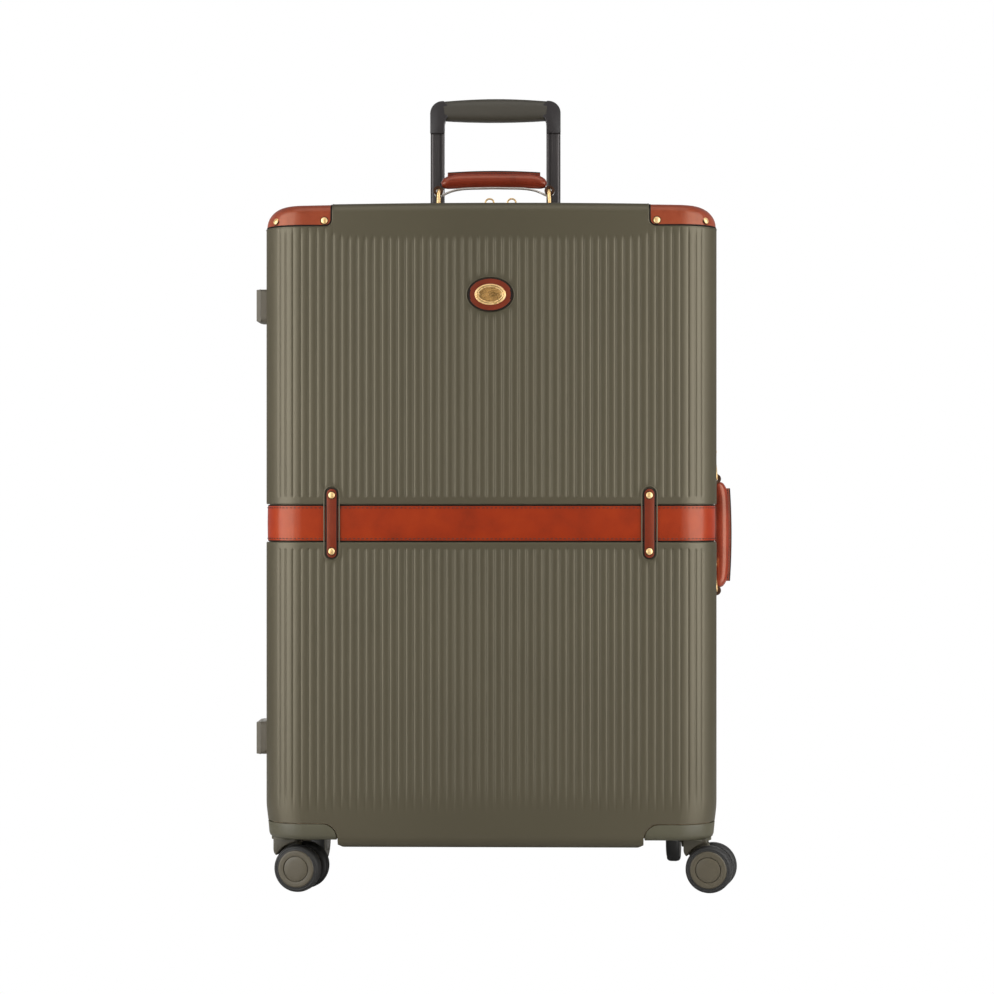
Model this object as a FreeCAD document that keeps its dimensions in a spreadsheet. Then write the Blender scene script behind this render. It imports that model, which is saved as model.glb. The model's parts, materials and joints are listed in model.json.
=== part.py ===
import FreeCAD, Part
import os
import re

import Sketcher

# Upright travel case on four swivelling twin-wheel casters, with two moulded half shells, a leather
# belt, carrying handles, a telescopic pull handle, a zip and a dial lock.
# Millimetres. +Z is up, X to the right, Y away from the viewer, and the origin lies on the floor
# under the middle of the case.

DIMENSIONS = {
    # Half shells
    "case_width": 520,
    "case_depth": 310,
    "case_height": 737,
    "plan_radius": 45,
    "crown_radius": 29,
    "sole_radius": 14,
    "rim_radius": 12,
    "wall": 2.6,
    "zip_gap": 12,
    "bond_gap": 0.2,
    "fit_gap": 0.4,
    # Belt, keepers and corner guards
    "belt_rise": 370.5,
    "belt_height": 42,
    "belt_clearance": 0.6,
    "belt_thickness": 2,
    "channel_depth": 3.8,
    "keeper_x": 181,
    "keeper_width": 13.7,
    "keeper_length": 81,
    "keeper_end_radius": 6.4,
    "keeper_thickness": 2,
    "keeper_proud": 0.8,
    "guard_reach": 78.5,
    "guard_drop": 27,
    "guard_length": 124,
    "guard_thickness": 2,
    "guard_clearance": 0.8,
    "rivet_height": 1.5,
    "rivet_ball": 6.1,
    "keeper_rivet_rise": 32,
    "guard_rivet_margin": 8,
    "guard_rivet_turn": 41,
    # Badge
    "badge_drop": 106,
    "badge_half_width": 25.5,
    "badge_half_height": 19,
    "badge_thickness": 2.6,
    "plate_half_width": 17.8,
    "plate_half_height": 12,
    "plate_thickness": 1.6,
    # Caster housings and casters
    "housing_reach": 85,
    "housing_depth": 95,
    "housing_height": 19,
    "housing_radius": 17,
    "housing_lift": 9,
    "housing_wall": 3,
    "housing_plate": 7,
    "swivel_room": 8,
    "kingpin_inset_x": 24,
    "kingpin_inset_y": 42,
    "kingpin_radius": 4.5,
    "kingpin_head_radius": 8,
    "kingpin_head_height": 2.5,
    "running_gap": 0.05,
    "swivel_disc_radius": 17,
    "swivel_disc_height": 4.6,
    "fork_thickness": 12,
    "fork_half_width": 13,
    "fork_boss_radius": 9,
    "wheel_radius": 27,
    "wheel_width": 17,
    "wheel_spacing": 15,
    "cap_radius": 21.5,
    "cap_groove_radius": 14,
    "cap_groove_width": 1,
    "cap_groove_depth": 0.6,
    "tyre_edge_radius": 3,
    "tyre_bead_radius": 0.4,
    "tyre_inset": 1,
    "axle_radius": 3,
    "axle_cover": 2.5,
    "trail": 18,
    "front_caster_turn": -12,
    "rear_caster_turn": 84,
    # Side feet and hinges
    "foot_proud": 13,
    "foot_height": 42,
    "foot_width": 50,
    "foot_corner_radius": 9,
    "foot_edge_radius": 4,
    "foot_y": 85,
    "foot_rise": 121.5,
    "foot_drop": 112,
    "foot_stagger": 60,
    "hinge_offset": 7,
    "hinge_spread": 110,
    "knuckle_length": 13.8,
    "knuckle_pitch": 14,
    "knuckle_radius": 5,
    "hinge_pin_radius": 2,
    "leaf_thickness": 2,
    "leaf_width": 30,
    "leaf_start": 3,
    "leaf_gap": 0.4,
    # Zip, sliders and pulls
    "tape_width": 14,
    "tape_thickness": 0.8,
    "chain_half_width": 2.6,
    "chain_split": 0.15,
    "chain_recess": 1.6,
    "chain_thickness": 2.8,
    "slider_length": 13,
    "slider_width": 9,
    "slider_height": 2.2,
    "post_thickness": 1.6,
    "post_width": 4,
    "post_rise": 2,
    "slider_left_x": -4.5,
    "slider_right_x": 22,
    "pull_pin_rise": 3.5,
    "pull_pin_radius": 1.1,
    "pull_width": 12,
    "pull_eye_width": 8,
    "pull_eye_radius": 2.2,
    "pull_height": 18,
    "pull_start": 3.3,
    "pull_foot_radius": 2,
    "pull_head_radius": 5.8,
    "pull_thickness": 1.8,
    # Linings and packing straps
    "lining_gap": 1.3,
    "lining_thickness": 1,
    "lining_hem": 2,
    "strap_x": 150,
    "strap_width": 38,
    "strap_thickness": 1.2,
    # Pull handle
    "trolley_y": 122,
    "tube_x": 72,
    "tube_width": 17.5,
    "tube_depth": 14,
    "tube_radius": 4,
    "tube_wall": 1.3,
    "tube_gap": 0.2,
    "cup_half_length": 82.5,
    "cup_half_width": 14.5,
    "cup_depth": 47,
    "cup_wall": 2,
    "cup_flange": 3,
    "cup_flange_height": 1.5,
    "cup_radius": 6,
    "trolley_raised": 162,
    "tube_end_rise": 57,
    "stage_end_gap": 2,
    "inner_end_room": 165,
    "foot_bracket_height": 30,
    "foot_bracket_wall": 4,
    "grip_half_length": 65,
    "grip_height": 29.5,
    "grip_depth": 24,
    "grip_radius": 11,
    "grip_crown": 1.5,
    "corner_half_length": 80.9,
    "corner_height": 46,
    "corner_depth": 21,
    "corner_radius": 13,
    "plug_length": 14,
    "button_length": 30,
    "button_width": 11,
    "button_end_radius": 5.2,
    "button_depth": 8,
    "slot_height": 10,
    "button_proud": 0.8,
    "button_travel": 4,
    "button_gap": 0.4,
    "rod_radius": 2,
    "rod_length": 500,
    # Carrying handles
    "handle_y": 35,
    "handle_span": 136,
    "side_handle_rise": 387,
    "side_handle_lean": 86,
    "ring_length": 32,
    "ring_half_width": 11,
    "ring_radius": 2.4,
    "ring_pivot_height": 5,
    "bracket_length": 16,
    "bracket_width": 36,
    "bracket_plate": 1.6,
    "bracket_loop_wall": 1.6,
    "bracket_loop_width": 14,
    "loop_wall": 2.4,
    "loop_width": 16,
    "loop_gap": 0.5,
    "roll_clearance": 0.23,
    "roll_radius": 8,
    "roll_end_gap": 0.1,
    "ridge_half_length": 56,
    "ridge_top": 23,
    "ridge_thickness": 3.6,
    # Dial lock
    "lock_x": 9,
    "lock_y": 19,
    "lock_length": 68,
    "lock_width": 20,
    "lock_depth": 14,
    "lock_flange": 2,
    "lock_flange_height": 1.2,
    "dial_radius": 6.5,
    "dial_width": 5,
    "dial_pitch": 9,
    "dial_first_x": 12,
    "dial_proud": 2.5,
    "dial_room": 0.5,
    "dial_axle_radius": 1.5,
    "lock_button_x": -12,
    "lock_button_length": 12,
    "lock_button_width": 10,
    "lock_button_height": 4.7,
    "lock_button_proud": 1,
    "lock_button_travel": 2,
}

# Places that follow from the driving sizes
HALF_WIDTH = "(case_width / 2)"
HALF_DEPTH = "(case_depth / 2)"
HOUSING_FLOOR = "(2 * wheel_radius + swivel_room)"
CASE_BOTTOM = f"({HOUSING_FLOOR} - housing_lift)"
CASE_TOP = f"({CASE_BOTTOM} + case_height)"
CASE_MIDDLE = f"({CASE_BOTTOM} + case_height / 2)"
BELT_Z = f"({CASE_BOTTOM} + belt_rise)"
PARTING = "(zip_gap / 2)"
BELT_RECESS = "(channel_depth - bond_gap - belt_thickness)"
GUARD_RECESS = "(guard_thickness + bond_gap)"
CUP_FLOOR = f"({CASE_TOP} - cup_depth)"
CORNER_FOOT = f"({CUP_FLOOR} + trolley_raised)"
GRIP_TOP = f"({CORNER_FOOT} + corner_height)"
KINGPIN_X = f"({HALF_WIDTH} - kingpin_inset_x)"
KINGPIN_Y = f"({HALF_DEPTH} - kingpin_inset_y)"
HINGE_X = f"(-({HALF_WIDTH} + hinge_offset))"
OUTER_FOOT = f"({CASE_BOTTOM} + tube_end_rise)"

# A length longer than the case, for tools that cut right through it
BEYOND = "(case_height + case_width + case_depth)"
BRACKET_LOOP = "(ring_radius + bracket_loop_wall)"
LEATHER_LOOP = "(ring_radius + loop_gap + loop_wall)"
ROLL_RISE = f"({BRACKET_LOOP} + roll_clearance + roll_radius - ring_length * cos(side_handle_lean))"
ROLL_HALF_LENGTH = f"(handle_span / 2 - {LEATHER_LOOP} - roll_end_gap)"

# Sides in X and Y on which each corner and each half lies
CORNERS = {
    "front_left": (-1, -1),
    "front_right": (1, -1),
    "rear_left": (-1, 1),
    "rear_right": (1, 1),
}
HALVES = {"front": -1, "rear": 1}

AXIS_TURN = {
    "X": FreeCAD.Rotation(FreeCAD.Vector(1, 1, 1), 120),
    "Y": FreeCAD.Rotation(FreeCAD.Vector(1, 0, 0), 90),
    "Z": FreeCAD.Rotation(),
}

doc = FreeCAD.newDocument("travel_case")
sheet = doc.addObject("Spreadsheet::Sheet", "dims")
for row, (alias, value) in enumerate(DIMENSIONS.items(), start=1):
    sheet.set(f"A{row}", alias)
    sheet.set(f"B{row}", str(value))
    sheet.setAlias(f"B{row}", alias)
doc.recompute()

subparts = []


def formula(text):
    """Write a formula in dimension names as one that reads the sheet."""
    def from_sheet(found):
        word = found.group()
        return f"dims.{word}" if word in DIMENSIONS else word
    return re.sub(r"[a-z][a-z_0-9]*", from_sheet, str(text))


def measure(text):
    """The present value of a formula."""
    return float(sheet.evalExpression(formula(text)))


def bind(thing, prop, text):
    thing.setExpression(prop, formula(text))


def place(thing, centre, turn=None):
    """Put a thing at a place given by three formulas, with a fixed turn."""
    if turn is not None:
        thing.Placement = FreeCAD.Placement(FreeCAD.Vector(), turn)
    for axis, text in zip("xyz", centre):
        bind(thing, f"Placement.Base.{axis}", text)
    return thing


def keep(thing):
    """Count a finished document object as one of the sub-parts."""
    subparts.append(thing)
    return thing


def block(name, size, centre):
    """Box given by its three sizes and its middle."""
    box = doc.addObject("Part::Box", name)
    for prop, text in zip(("Length", "Width", "Height"), size):
        bind(box, prop, text)
    corner = [f"({middle}) - ({text}) / 2" for middle, text in zip(centre, size)]
    return place(box, corner)


def rod(name, axis, radius, length, centre):
    """Cylinder along an axis, given by its middle."""
    cylinder = doc.addObject("Part::Cylinder", name)
    bind(cylinder, "Radius", radius)
    bind(cylinder, "Height", length)
    turns = {
        "X": FreeCAD.Rotation(FreeCAD.Vector(0, 1, 0), 90),
        "Y": FreeCAD.Rotation(FreeCAD.Vector(1, 0, 0), -90),
        "Z": FreeCAD.Rotation(),
    }
    start = list(centre)
    along = "XYZ".index(axis)
    start[along] = f"({centre[along]}) - ({length}) / 2"
    return place(cylinder, start, turns[axis])


def ball(name, radius, centre):
    sphere = doc.addObject("Part::Sphere", name)
    bind(sphere, "Radius", radius)
    return place(sphere, centre)


def boolean(kind, name, things):
    result = doc.addObject(f"Part::Multi{kind}", name)
    result.Shapes = list(things)
    return result


def join(name, *things):
    return boolean("Fuse", name, things)


def common(name, *things):
    return boolean("Common", name, things)


def group(name, *things):
    """Several separate solids that share one sub-part."""
    result = doc.addObject("Part::Compound", name)
    result.Links = list(things)
    return result


def cut(name, base, *tools):
    result = doc.addObject("Part::Cut", name)
    result.Base = base
    result.Tool = tools[0] if len(tools) == 1 else join(f"{name}_tools", *tools)
    return result


def lock_point(sketch, geometry, end, u, v):
    """Fix one end of a line or arc in a sketch at a place given by two formulas."""
    for kind, text in (("DistanceX", u), ("DistanceY", v)):
        number = sketch.addConstraint(Sketcher.Constraint(kind, -1, 1, geometry, end, measure(text)))
        label = f"{kind}{number}"
        sketch.renameConstraint(number, label)
        bind(sketch, f"Constraints.{label}", text)


def draw_rounded(sketch, size_u, size_v, low, high, middle=("0", "0")):
    """Draw a rectangle whose lower and upper corners are rounded, each at its own radius."""
    left, right = (f"({middle[0]}) {sign} ({size_u}) / 2" for sign in "-+")
    foot, head = (f"({middle[1]}) {sign} ({size_v}) / 2" for sign in "-+")
    ends = [
        ((f"{left} + ({low})", foot), (f"{right} - ({low})", foot)),
        ((right, f"{foot} + ({low})"), (right, f"{head} - ({high})")),
        ((f"{right} - ({high})", head), (f"{left} + ({high})", head)),
        ((left, f"{head} - ({high})"), (left, f"{foot} + ({low})")),
    ]
    points = [[FreeCAD.Vector(measure(u), measure(v), 0) for u, v in pair] for pair in ends]
    for start, finish in points:
        sketch.addGeometry(Part.LineSegment(start, finish), False)
    for side, pair in enumerate(ends):
        for end, (u, v) in enumerate(pair, start=1):
            lock_point(sketch, side, end, u, v)
    quarter = 2 ** -0.5
    for side, radius in enumerate((low, high, high, low)):
        start = points[side][1]
        finish = points[(side + 1) % 4][0]
        across = side % 2 == 0
        corner = FreeCAD.Vector(finish.x, start.y, 0) if across else FreeCAD.Vector(start.x, finish.y, 0)
        centre = start + finish - corner
        arc = sketch.addGeometry(Part.Arc(start, centre + (corner - centre) * quarter, finish), False)
        sketch.addConstraint(Sketcher.Constraint("Coincident", arc, 1, side, 2))
        sketch.addConstraint(Sketcher.Constraint("Coincident", arc, 2, (side + 1) % 4, 1))
        number = sketch.addConstraint(Sketcher.Constraint("Radius", arc, measure(radius)))
        label = f"radius{number}"
        sketch.renameConstraint(number, label)
        bind(sketch, f"Constraints.{label}", radius)


def draw_outline(sketch, corners):
    """Draw a closed outline of straight runs through corners given by formulas."""
    points = [FreeCAD.Vector(measure(u), measure(v), 0) for u, v in corners]
    for number, start in enumerate(points):
        sketch.addGeometry(Part.LineSegment(start, points[(number + 1) % len(points)]), False)
    for number, (u, v) in enumerate(corners):
        before = (number - 1) % len(corners)
        sketch.addConstraint(Sketcher.Constraint("Coincident", number, 1, before, 2))
        lock_point(sketch, number, 1, u, v)


def extrude(name, sketch, length):
    """Solid of a sketch, drawn out evenly to both sides of its plane."""
    solid = doc.addObject("Part::Extrusion", name)
    solid.Base = sketch
    solid.DirMode = "Normal"
    solid.Solid = True
    solid.Symmetric = True
    bind(solid, "LengthFwd", length)
    return solid


def rounded(name, axis, size_u, size_v, low, high, length, centre):
    """Prism along an axis, of a rectangle with rounded lower and upper corners."""
    sketch = doc.addObject("Sketcher::SketchObject", f"{name}_outline")
    place(sketch, centre, AXIS_TURN[axis])
    draw_rounded(sketch, size_u, size_v, low, high)
    return extrude(name, sketch, length)


def oval(name, half_width, half_height, length, centre):
    """Flat oval prism that faces the viewer."""
    sketch = doc.addObject("Sketcher::SketchObject", f"{name}_outline")
    place(sketch, centre, AXIS_TURN["Y"])
    sketch.addGeometry(Part.Ellipse(FreeCAD.Vector(), measure(half_width), measure(half_height)), False)
    sketch.exposeInternalGeometry(0)
    sketch.addConstraint(Sketcher.Constraint("Coincident", 0, 3, -1, 1))
    sketch.addConstraint(Sketcher.Constraint("Horizontal", 1))
    for line, label, text in ((1, "long_axis", half_width), (2, "short_axis", half_height)):
        number = sketch.addConstraint(Sketcher.Constraint("Distance", line, 2 * measure(text)))
        sketch.renameConstraint(number, label)
        bind(sketch, f"Constraints.{label}", f"2 * ({text})")
    return extrude(name, sketch, length)


def new_body(name, plane, draw):
    """Body with one sketch on one of its own origin planes."""
    body = doc.addObject("PartDesign::Body", name)
    sketch = body.newObject("Sketcher::SketchObject", f"{name}_sketch")
    sketch.AttachmentSupport = [(next(f for f in body.Origin.OriginFeatures if f.Role == plane), "")]
    sketch.MapMode = "FlatFace"
    draw(sketch)
    return body, sketch


# Forms of the whole case. Each is made once and shared by the pieces that follow it.
forms = {}


def case_form(inset):
    """Rounded outer form of the closed case, drawn in evenly by an inset."""
    if inset in forms:
        return forms[inset]
    name = f"form_{len(forms)}"
    width, depth, height = (f"{size} - 2 * ({inset})" for size in ("case_width", "case_depth", "case_height"))
    plan, crown, sole, rim = (f"{size}_radius - ({inset})" for size in ("plan", "crown", "sole", "rim"))
    middle = ("0", "0", CASE_MIDDLE)
    forms[inset] = common(
        name,
        rounded(f"{name}_plan", "Z", width, depth, plan, plan, BEYOND, middle),
        rounded(f"{name}_front", "Y", width, height, sole, crown, BEYOND, middle),
        rounded(f"{name}_side", "X", depth, height, rim, rim, BEYOND, middle),
    )
    return forms[inset]


def corner_block(name, x_side, y_side, reach, length, low, high):
    """Block over one upright edge of the case, between two heights."""
    size = (f"({reach}) + plan_radius", f"({length}) + plan_radius", f"({high}) - ({low})")
    centre = (
        f"{x_side} * ({HALF_WIDTH} + (plan_radius - ({reach})) / 2)",
        f"{y_side} * ({HALF_DEPTH} + (plan_radius - ({length})) / 2)",
        f"(({high}) + ({low})) / 2",
    )
    return block(name, size, centre)


def belt_band(name, height):
    return block(name, (BEYOND, BEYOND, height), ("0", "0", BELT_Z))


def guard_region(name, x_side, y_side, grow):
    reach, length = (f"{size} + ({grow})" for size in ("guard_reach", "guard_length"))
    low = f"{CASE_TOP} - guard_drop - ({grow})"
    return corner_block(name, x_side, y_side, reach, length, low, f"{CASE_TOP} + plan_radius")


def case_body(inset):
    """The case's form with the belt's channel and the guards' seats sunk in, drawn in by an inset."""
    key = f"body {inset}"
    if key not in forms:
        name = f"body_{len(forms)}"
        band = belt_band(f"{name}_band", f"belt_height + 2 * belt_clearance + 2 * ({inset})")
        seats = [
            guard_region(f"{name}_guard_{x_side}_{y_side}", x_side, y_side, f"guard_clearance + ({inset})")
            for x_side, y_side in CORNERS.values()
        ]
        channel = cut(f"{name}_channel", band, case_form(f"{inset} + channel_depth"))
        sunk = cut(f"{name}_seats", group(f"{name}_regions", *seats), case_form(f"{inset} + {GUARD_RECESS}"))
        forms[key] = cut(name, case_form(inset), channel, sunk)
    return forms[key]


def half_space(name, y_side, start):
    """Everything on one side of the case from a distance off the parting plane."""
    return block(name, (BEYOND,) * 3, ("0", f"{y_side} * ({start} + {BEYOND} / 2)", CASE_MIDDLE))


def housing_region(name, x_side, y_side, grow):
    """Room for a caster housing at one lower corner, with its upper inner edge rounded."""
    reach = f"housing_reach + ({grow})"
    length = f"housing_depth + ({grow})"
    height = f"housing_lift + housing_height + ({grow})"
    centre = (
        f"{x_side} * ({HALF_WIDTH} + (plan_radius - ({reach})) / 2)",
        f"{y_side} * ({HALF_DEPTH} + (plan_radius - ({length})) / 2)",
        f"{CASE_BOTTOM} + (({height}) - plan_radius) / 2",
    )
    turn = f"housing_radius + ({grow})"
    width, depth, height = (f"({size}) + plan_radius" for size in (reach, length, height))
    return rounded(name, "Y", width, height, turn, turn, depth, centre)


def on_half(half):
    """The two lower or upper corners that belong to one half."""
    return [(name, x_side) for name, (x_side, y_side) in CORNERS.items() if y_side == HALVES[half]]


def keeper_prism(name, x_side, y_side, grow, inner, outer):
    """Upright strip with round ends, between two depths below the case's face."""
    return rounded(
        name, "Y", f"keeper_width + 2 * ({grow})", f"keeper_length + 2 * ({grow})",
        f"keeper_end_radius + ({grow})", f"keeper_end_radius + ({grow})", f"({inner}) - ({outer})",
        (f"{x_side} * keeper_x", f"{y_side} * ({HALF_DEPTH} - (({inner}) + ({outer})) / 2)", BELT_Z),
    )


def cup_prism(name, grow, low, high):
    """Upright rounded prism round the pull handle's cup."""
    return rounded(
        name, "Z", f"2 * (cup_half_length + ({grow}))", f"2 * (cup_half_width + ({grow}))",
        f"cup_radius + ({grow})", f"cup_radius + ({grow})", f"({high}) - ({low})",
        ("0", "trolley_y", f"(({high}) + ({low})) / 2"),
    )


def lock_block(name, grow, low, high):
    size = (f"lock_length + 2 * ({grow})", f"lock_width + 2 * ({grow})", f"({high}) - ({low})")
    return block(name, size, ("lock_x", "lock_y", f"(({high}) + ({low})) / 2"))


def make_shells():
    """Two half shells of even wall, notched for the housings and sunk for belt, guards and keepers."""
    hollow = cut("case_wall", case_body("0"), case_body("wall"))
    for half, y_side in HALVES.items():
        tools = [housing_region(f"{name}_notch", x_side, y_side, "0") for name, x_side in on_half(half)]
        inner = "keeper_thickness - keeper_proud + bond_gap"
        for x_side in (-1, 1):
            name = f"{half}_pocket_{x_side}"
            tools.append(keeper_prism(name, x_side, y_side, "belt_clearance", inner, "-wall"))
        if half == "rear":
            above = f"{CASE_TOP} + wall"
            tools.append(cup_prism("cup_hole", "cup_wall + fit_gap", CUP_FLOOR, above))
            tools.append(lock_block("lock_hole", "fit_gap", f"{CASE_TOP} - lock_depth", above))
        side = common(f"{half}_wall", hollow, half_space(f"{half}_side", y_side, PARTING))
        keep(cut(f"{half}_shell", side, *tools))


def make_linings():
    """Cloth linings that follow the shells inside and cover the housings, the tubes and the lock."""
    def lining_space(half, name, inset, grow):
        y_side = HALVES[half]
        covered = [
            housing_region(f"{name}_{corner}", x_side, y_side, grow)
            for corner, x_side in on_half(half)
        ]
        if half == "rear":
            start = f"trolley_y - cup_half_width - cup_wall - ({grow})"
            width = f"2 * (cup_half_length + cup_wall + ({grow}))"
            tunnel_centre = ("0", f"{start} + {HALF_DEPTH}", CASE_MIDDLE)
            covered.append(block(f"{name}_tunnel", (width, "case_depth", BEYOND), tunnel_centre))
            low = f"{CASE_TOP} - lock_depth - ({grow})"
            covered.append(lock_block(f"{name}_lock", grow, low, f"{CASE_TOP} + wall"))
        return cut(name, case_body(inset), *covered)

    outer = "wall + lining_gap"
    inner = "wall + lining_gap + lining_thickness"
    for half, y_side in HALVES.items():
        outside = lining_space(half, f"{half}_lining_outside", outer, "lining_gap")
        inside = lining_space(half, f"{half}_lining_inside", inner, "lining_gap + lining_thickness")
        cloth = cut(f"{half}_lining_cloth", outside, inside)
        side = half_space(f"{half}_lining_side", y_side, f"{PARTING} + lining_hem")
        keep(common(f"{half}_lining", cloth, side))


def make_zip():
    """Zip tapes bonded inside the shells' edges, each with its half of the chain."""
    chain = cut("zip_chain", case_form("chain_recess"), case_form("chain_recess + chain_thickness"))
    tape = cut("zip_tape", case_body("wall + bond_gap"), case_body("wall + bond_gap + tape_thickness"))
    for half, y_side in HALVES.items():
        def strip(name, width):
            size = (BEYOND, f"({width}) - chain_split", BEYOND)
            return block(name, size, ("0", f"{y_side} * (({width}) + chain_split) / 2", CASE_MIDDLE))
        tape_half = common(f"{half}_tape", tape, strip(f"{half}_tape_strip", "tape_width"))
        if half == "rear":
            gap = lock_block("zip_lock_gap", "fit_gap", f"{CASE_TOP} - lock_depth", f"{CASE_TOP} + wall")
            tape_half = cut("rear_tape_round_lock", tape_half, gap)
        chain_half = common(f"{half}_chain", chain, strip(f"{half}_chain_strip", "chain_half_width"))
        hinge_side = block(
            f"{half}_chain_end", ("2 * plan_radius", "case_depth", "case_height - 4 * plan_radius"),
            (f"-{HALF_WIDTH}", "0", CASE_MIDDLE),
        )
        keep(join(f"{half}_zip", tape_half, cut(f"{half}_chain_run", chain_half, hinge_side)))


def make_belt():
    """Belt in its channel, in two lengths, and the keepers that hold it on each face."""
    ring = cut("belt_ring", case_form(BELT_RECESS), case_form("channel_depth - bond_gap"))
    band = belt_band("belt_width_band", "belt_height")
    for half, y_side in HALVES.items():
        side = half_space(f"{half}_belt_side", y_side, f"{PARTING} + belt_clearance")
        keep(common(f"{half}_belt", ring, band, side))
        inner = "keeper_thickness - keeper_proud"
        keepers = [
            keeper_prism(f"{half}_keeper_{x_side}", x_side, y_side, "0", inner, "-keeper_proud")
            for x_side in (-1, 1)
        ]
        keep(group(f"{half}_belt_keepers", *keepers))


def make_guards():
    """Leather corner guards, flush in their seats on the upper corners."""
    skin = cut("guard_skin", case_form("0"), case_form("guard_thickness"))
    for half, y_side in HALVES.items():
        guards = [
            common(f"{name}_guard", skin, guard_region(f"{name}_guard_area", x_side, y_side, "0"))
            for name, x_side in on_half(half)
        ]
        keep(group(f"{half}_corner_guards", *guards))


def rivet(name, centre, turn):
    """Low dome whose flat base lies at a place, turned to face outwards."""
    dome = doc.addObject("Part::Sphere", f"{name}_dome")
    bind(dome, "Radius", "rivet_ball")
    bind(dome, "Angle1", "asin((rivet_ball - rivet_height) / rivet_ball)")
    place(dome, ("0", "0", "rivet_height - rivet_ball"))
    return place(group(name, dome), centre, turn)


def make_rivets():
    """Brass rivets on the keepers' ends and on the guards' faces, bends and tops."""
    for half, y_side in HALVES.items():
        outwards = FreeCAD.Rotation(FreeCAD.Vector(1, 0, 0), -90 * y_side)
        rivets = []
        for x_side in (-1, 1):
            for z_side in (-1, 1):
                centre = (
                    f"{x_side} * keeper_x", f"{y_side} * ({HALF_DEPTH} + keeper_proud)",
                    f"{BELT_Z} + {z_side} * keeper_rivet_rise",
                )
                rivets.append(rivet(f"{half}_keeper_rivet_{x_side}_{z_side}", centre, outwards))
        inner_x = f"({HALF_WIDTH} - guard_reach + guard_rivet_margin)"
        low_z = f"{CASE_TOP} - guard_drop + guard_rivet_margin"
        back_y = f"{y_side} * ({HALF_DEPTH} - guard_length + guard_rivet_margin)"
        bend_x = f"({HALF_WIDTH} - plan_radius + plan_radius * sin(guard_rivet_turn))"
        bend_y = f"{y_side} * ({HALF_DEPTH} - plan_radius + plan_radius * cos(guard_rivet_turn))"
        sideways = measure("guard_rivet_turn")
        for corner, x_side in on_half(half):
            upright = FreeCAD.Rotation(FreeCAD.Vector(0, 0, 1), -y_side * x_side * sideways)
            spots = {
                "face": ((f"{x_side} * {inner_x}", f"{y_side} * {HALF_DEPTH}", low_z), outwards),
                "bend": ((f"{x_side} * {bend_x}", bend_y, low_z), upright.multiply(outwards)),
                "top": ((f"{x_side} * {inner_x}", back_y, CASE_TOP), FreeCAD.Rotation()),
            }
            for spot, (centre, turn) in spots.items():
                rivets.append(rivet(f"{corner}_{spot}_rivet", centre, turn))
        keep(group(f"{half}_rivets", *rivets))


def make_badge():
    """Oval leather pad on the front with a plain brass oval on it."""
    height = f"{CASE_TOP} - badge_drop"
    pad_y = f"-({HALF_DEPTH} + badge_thickness / 2)"
    plate_y = f"-({HALF_DEPTH} + badge_thickness + plate_thickness / 2)"
    pad_size = ("badge_half_width", "badge_half_height", "badge_thickness")
    plate_size = ("plate_half_width", "plate_half_height", "plate_thickness")
    keep(oval("badge_backing", *pad_size, ("0", pad_y, height)))
    keep(oval("badge_plate", *plate_size, ("0", plate_y, height)))


def make_housings():
    """Moulded housings that fill the lower corners and carry the casters' kingpins."""
    for half, y_side in HALVES.items():
        housings = []
        for corner, x_side in on_half(half):
            room = housing_region(f"{corner}_room", x_side, y_side, "-fit_gap")
            whole = common(f"{corner}_moulding", case_form("bond_gap"), room)
            reach, length = (f"housing_{size} + plan_radius" for size in ("reach", "depth"))
            foot = f"{CASE_BOTTOM} - plan_radius"
            below = corner_block(f"{corner}_below", x_side, y_side, reach, length, foot, HOUSING_FLOOR)
            pocket = corner_block(
                f"{corner}_pocket", x_side, y_side, "housing_reach - fit_gap - housing_wall",
                "housing_depth - fit_gap - housing_wall", f"{HOUSING_FLOOR} + housing_plate", CASE_MIDDLE,
            )
            inside = common(f"{corner}_inside", case_form("bond_gap + housing_wall"), pocket)
            bore_centre = (f"{x_side} * {KINGPIN_X}", f"{y_side} * {KINGPIN_Y}", HOUSING_FLOOR)
            bore_radius = "kingpin_radius + running_gap"
            bore = rod(f"{corner}_bore", "Z", bore_radius, "4 * housing_plate", bore_centre)
            housings.append(cut(f"{corner}_housing", whole, below, inside, bore))
        keep(group(f"{half}_caster_housings", *housings))


def place_caster(thing, x_side, y_side):
    """Put a piece drawn about the kingpin under its corner, turned as the caster stands."""
    turn = measure("front_caster_turn" if y_side < 0 else "rear_caster_turn")
    centre = (f"{x_side} * {KINGPIN_X}", f"{y_side} * {KINGPIN_Y}", "0")
    return keep(place(thing, centre, FreeCAD.Rotation(FreeCAD.Vector(0, 0, 1), turn)))


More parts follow.
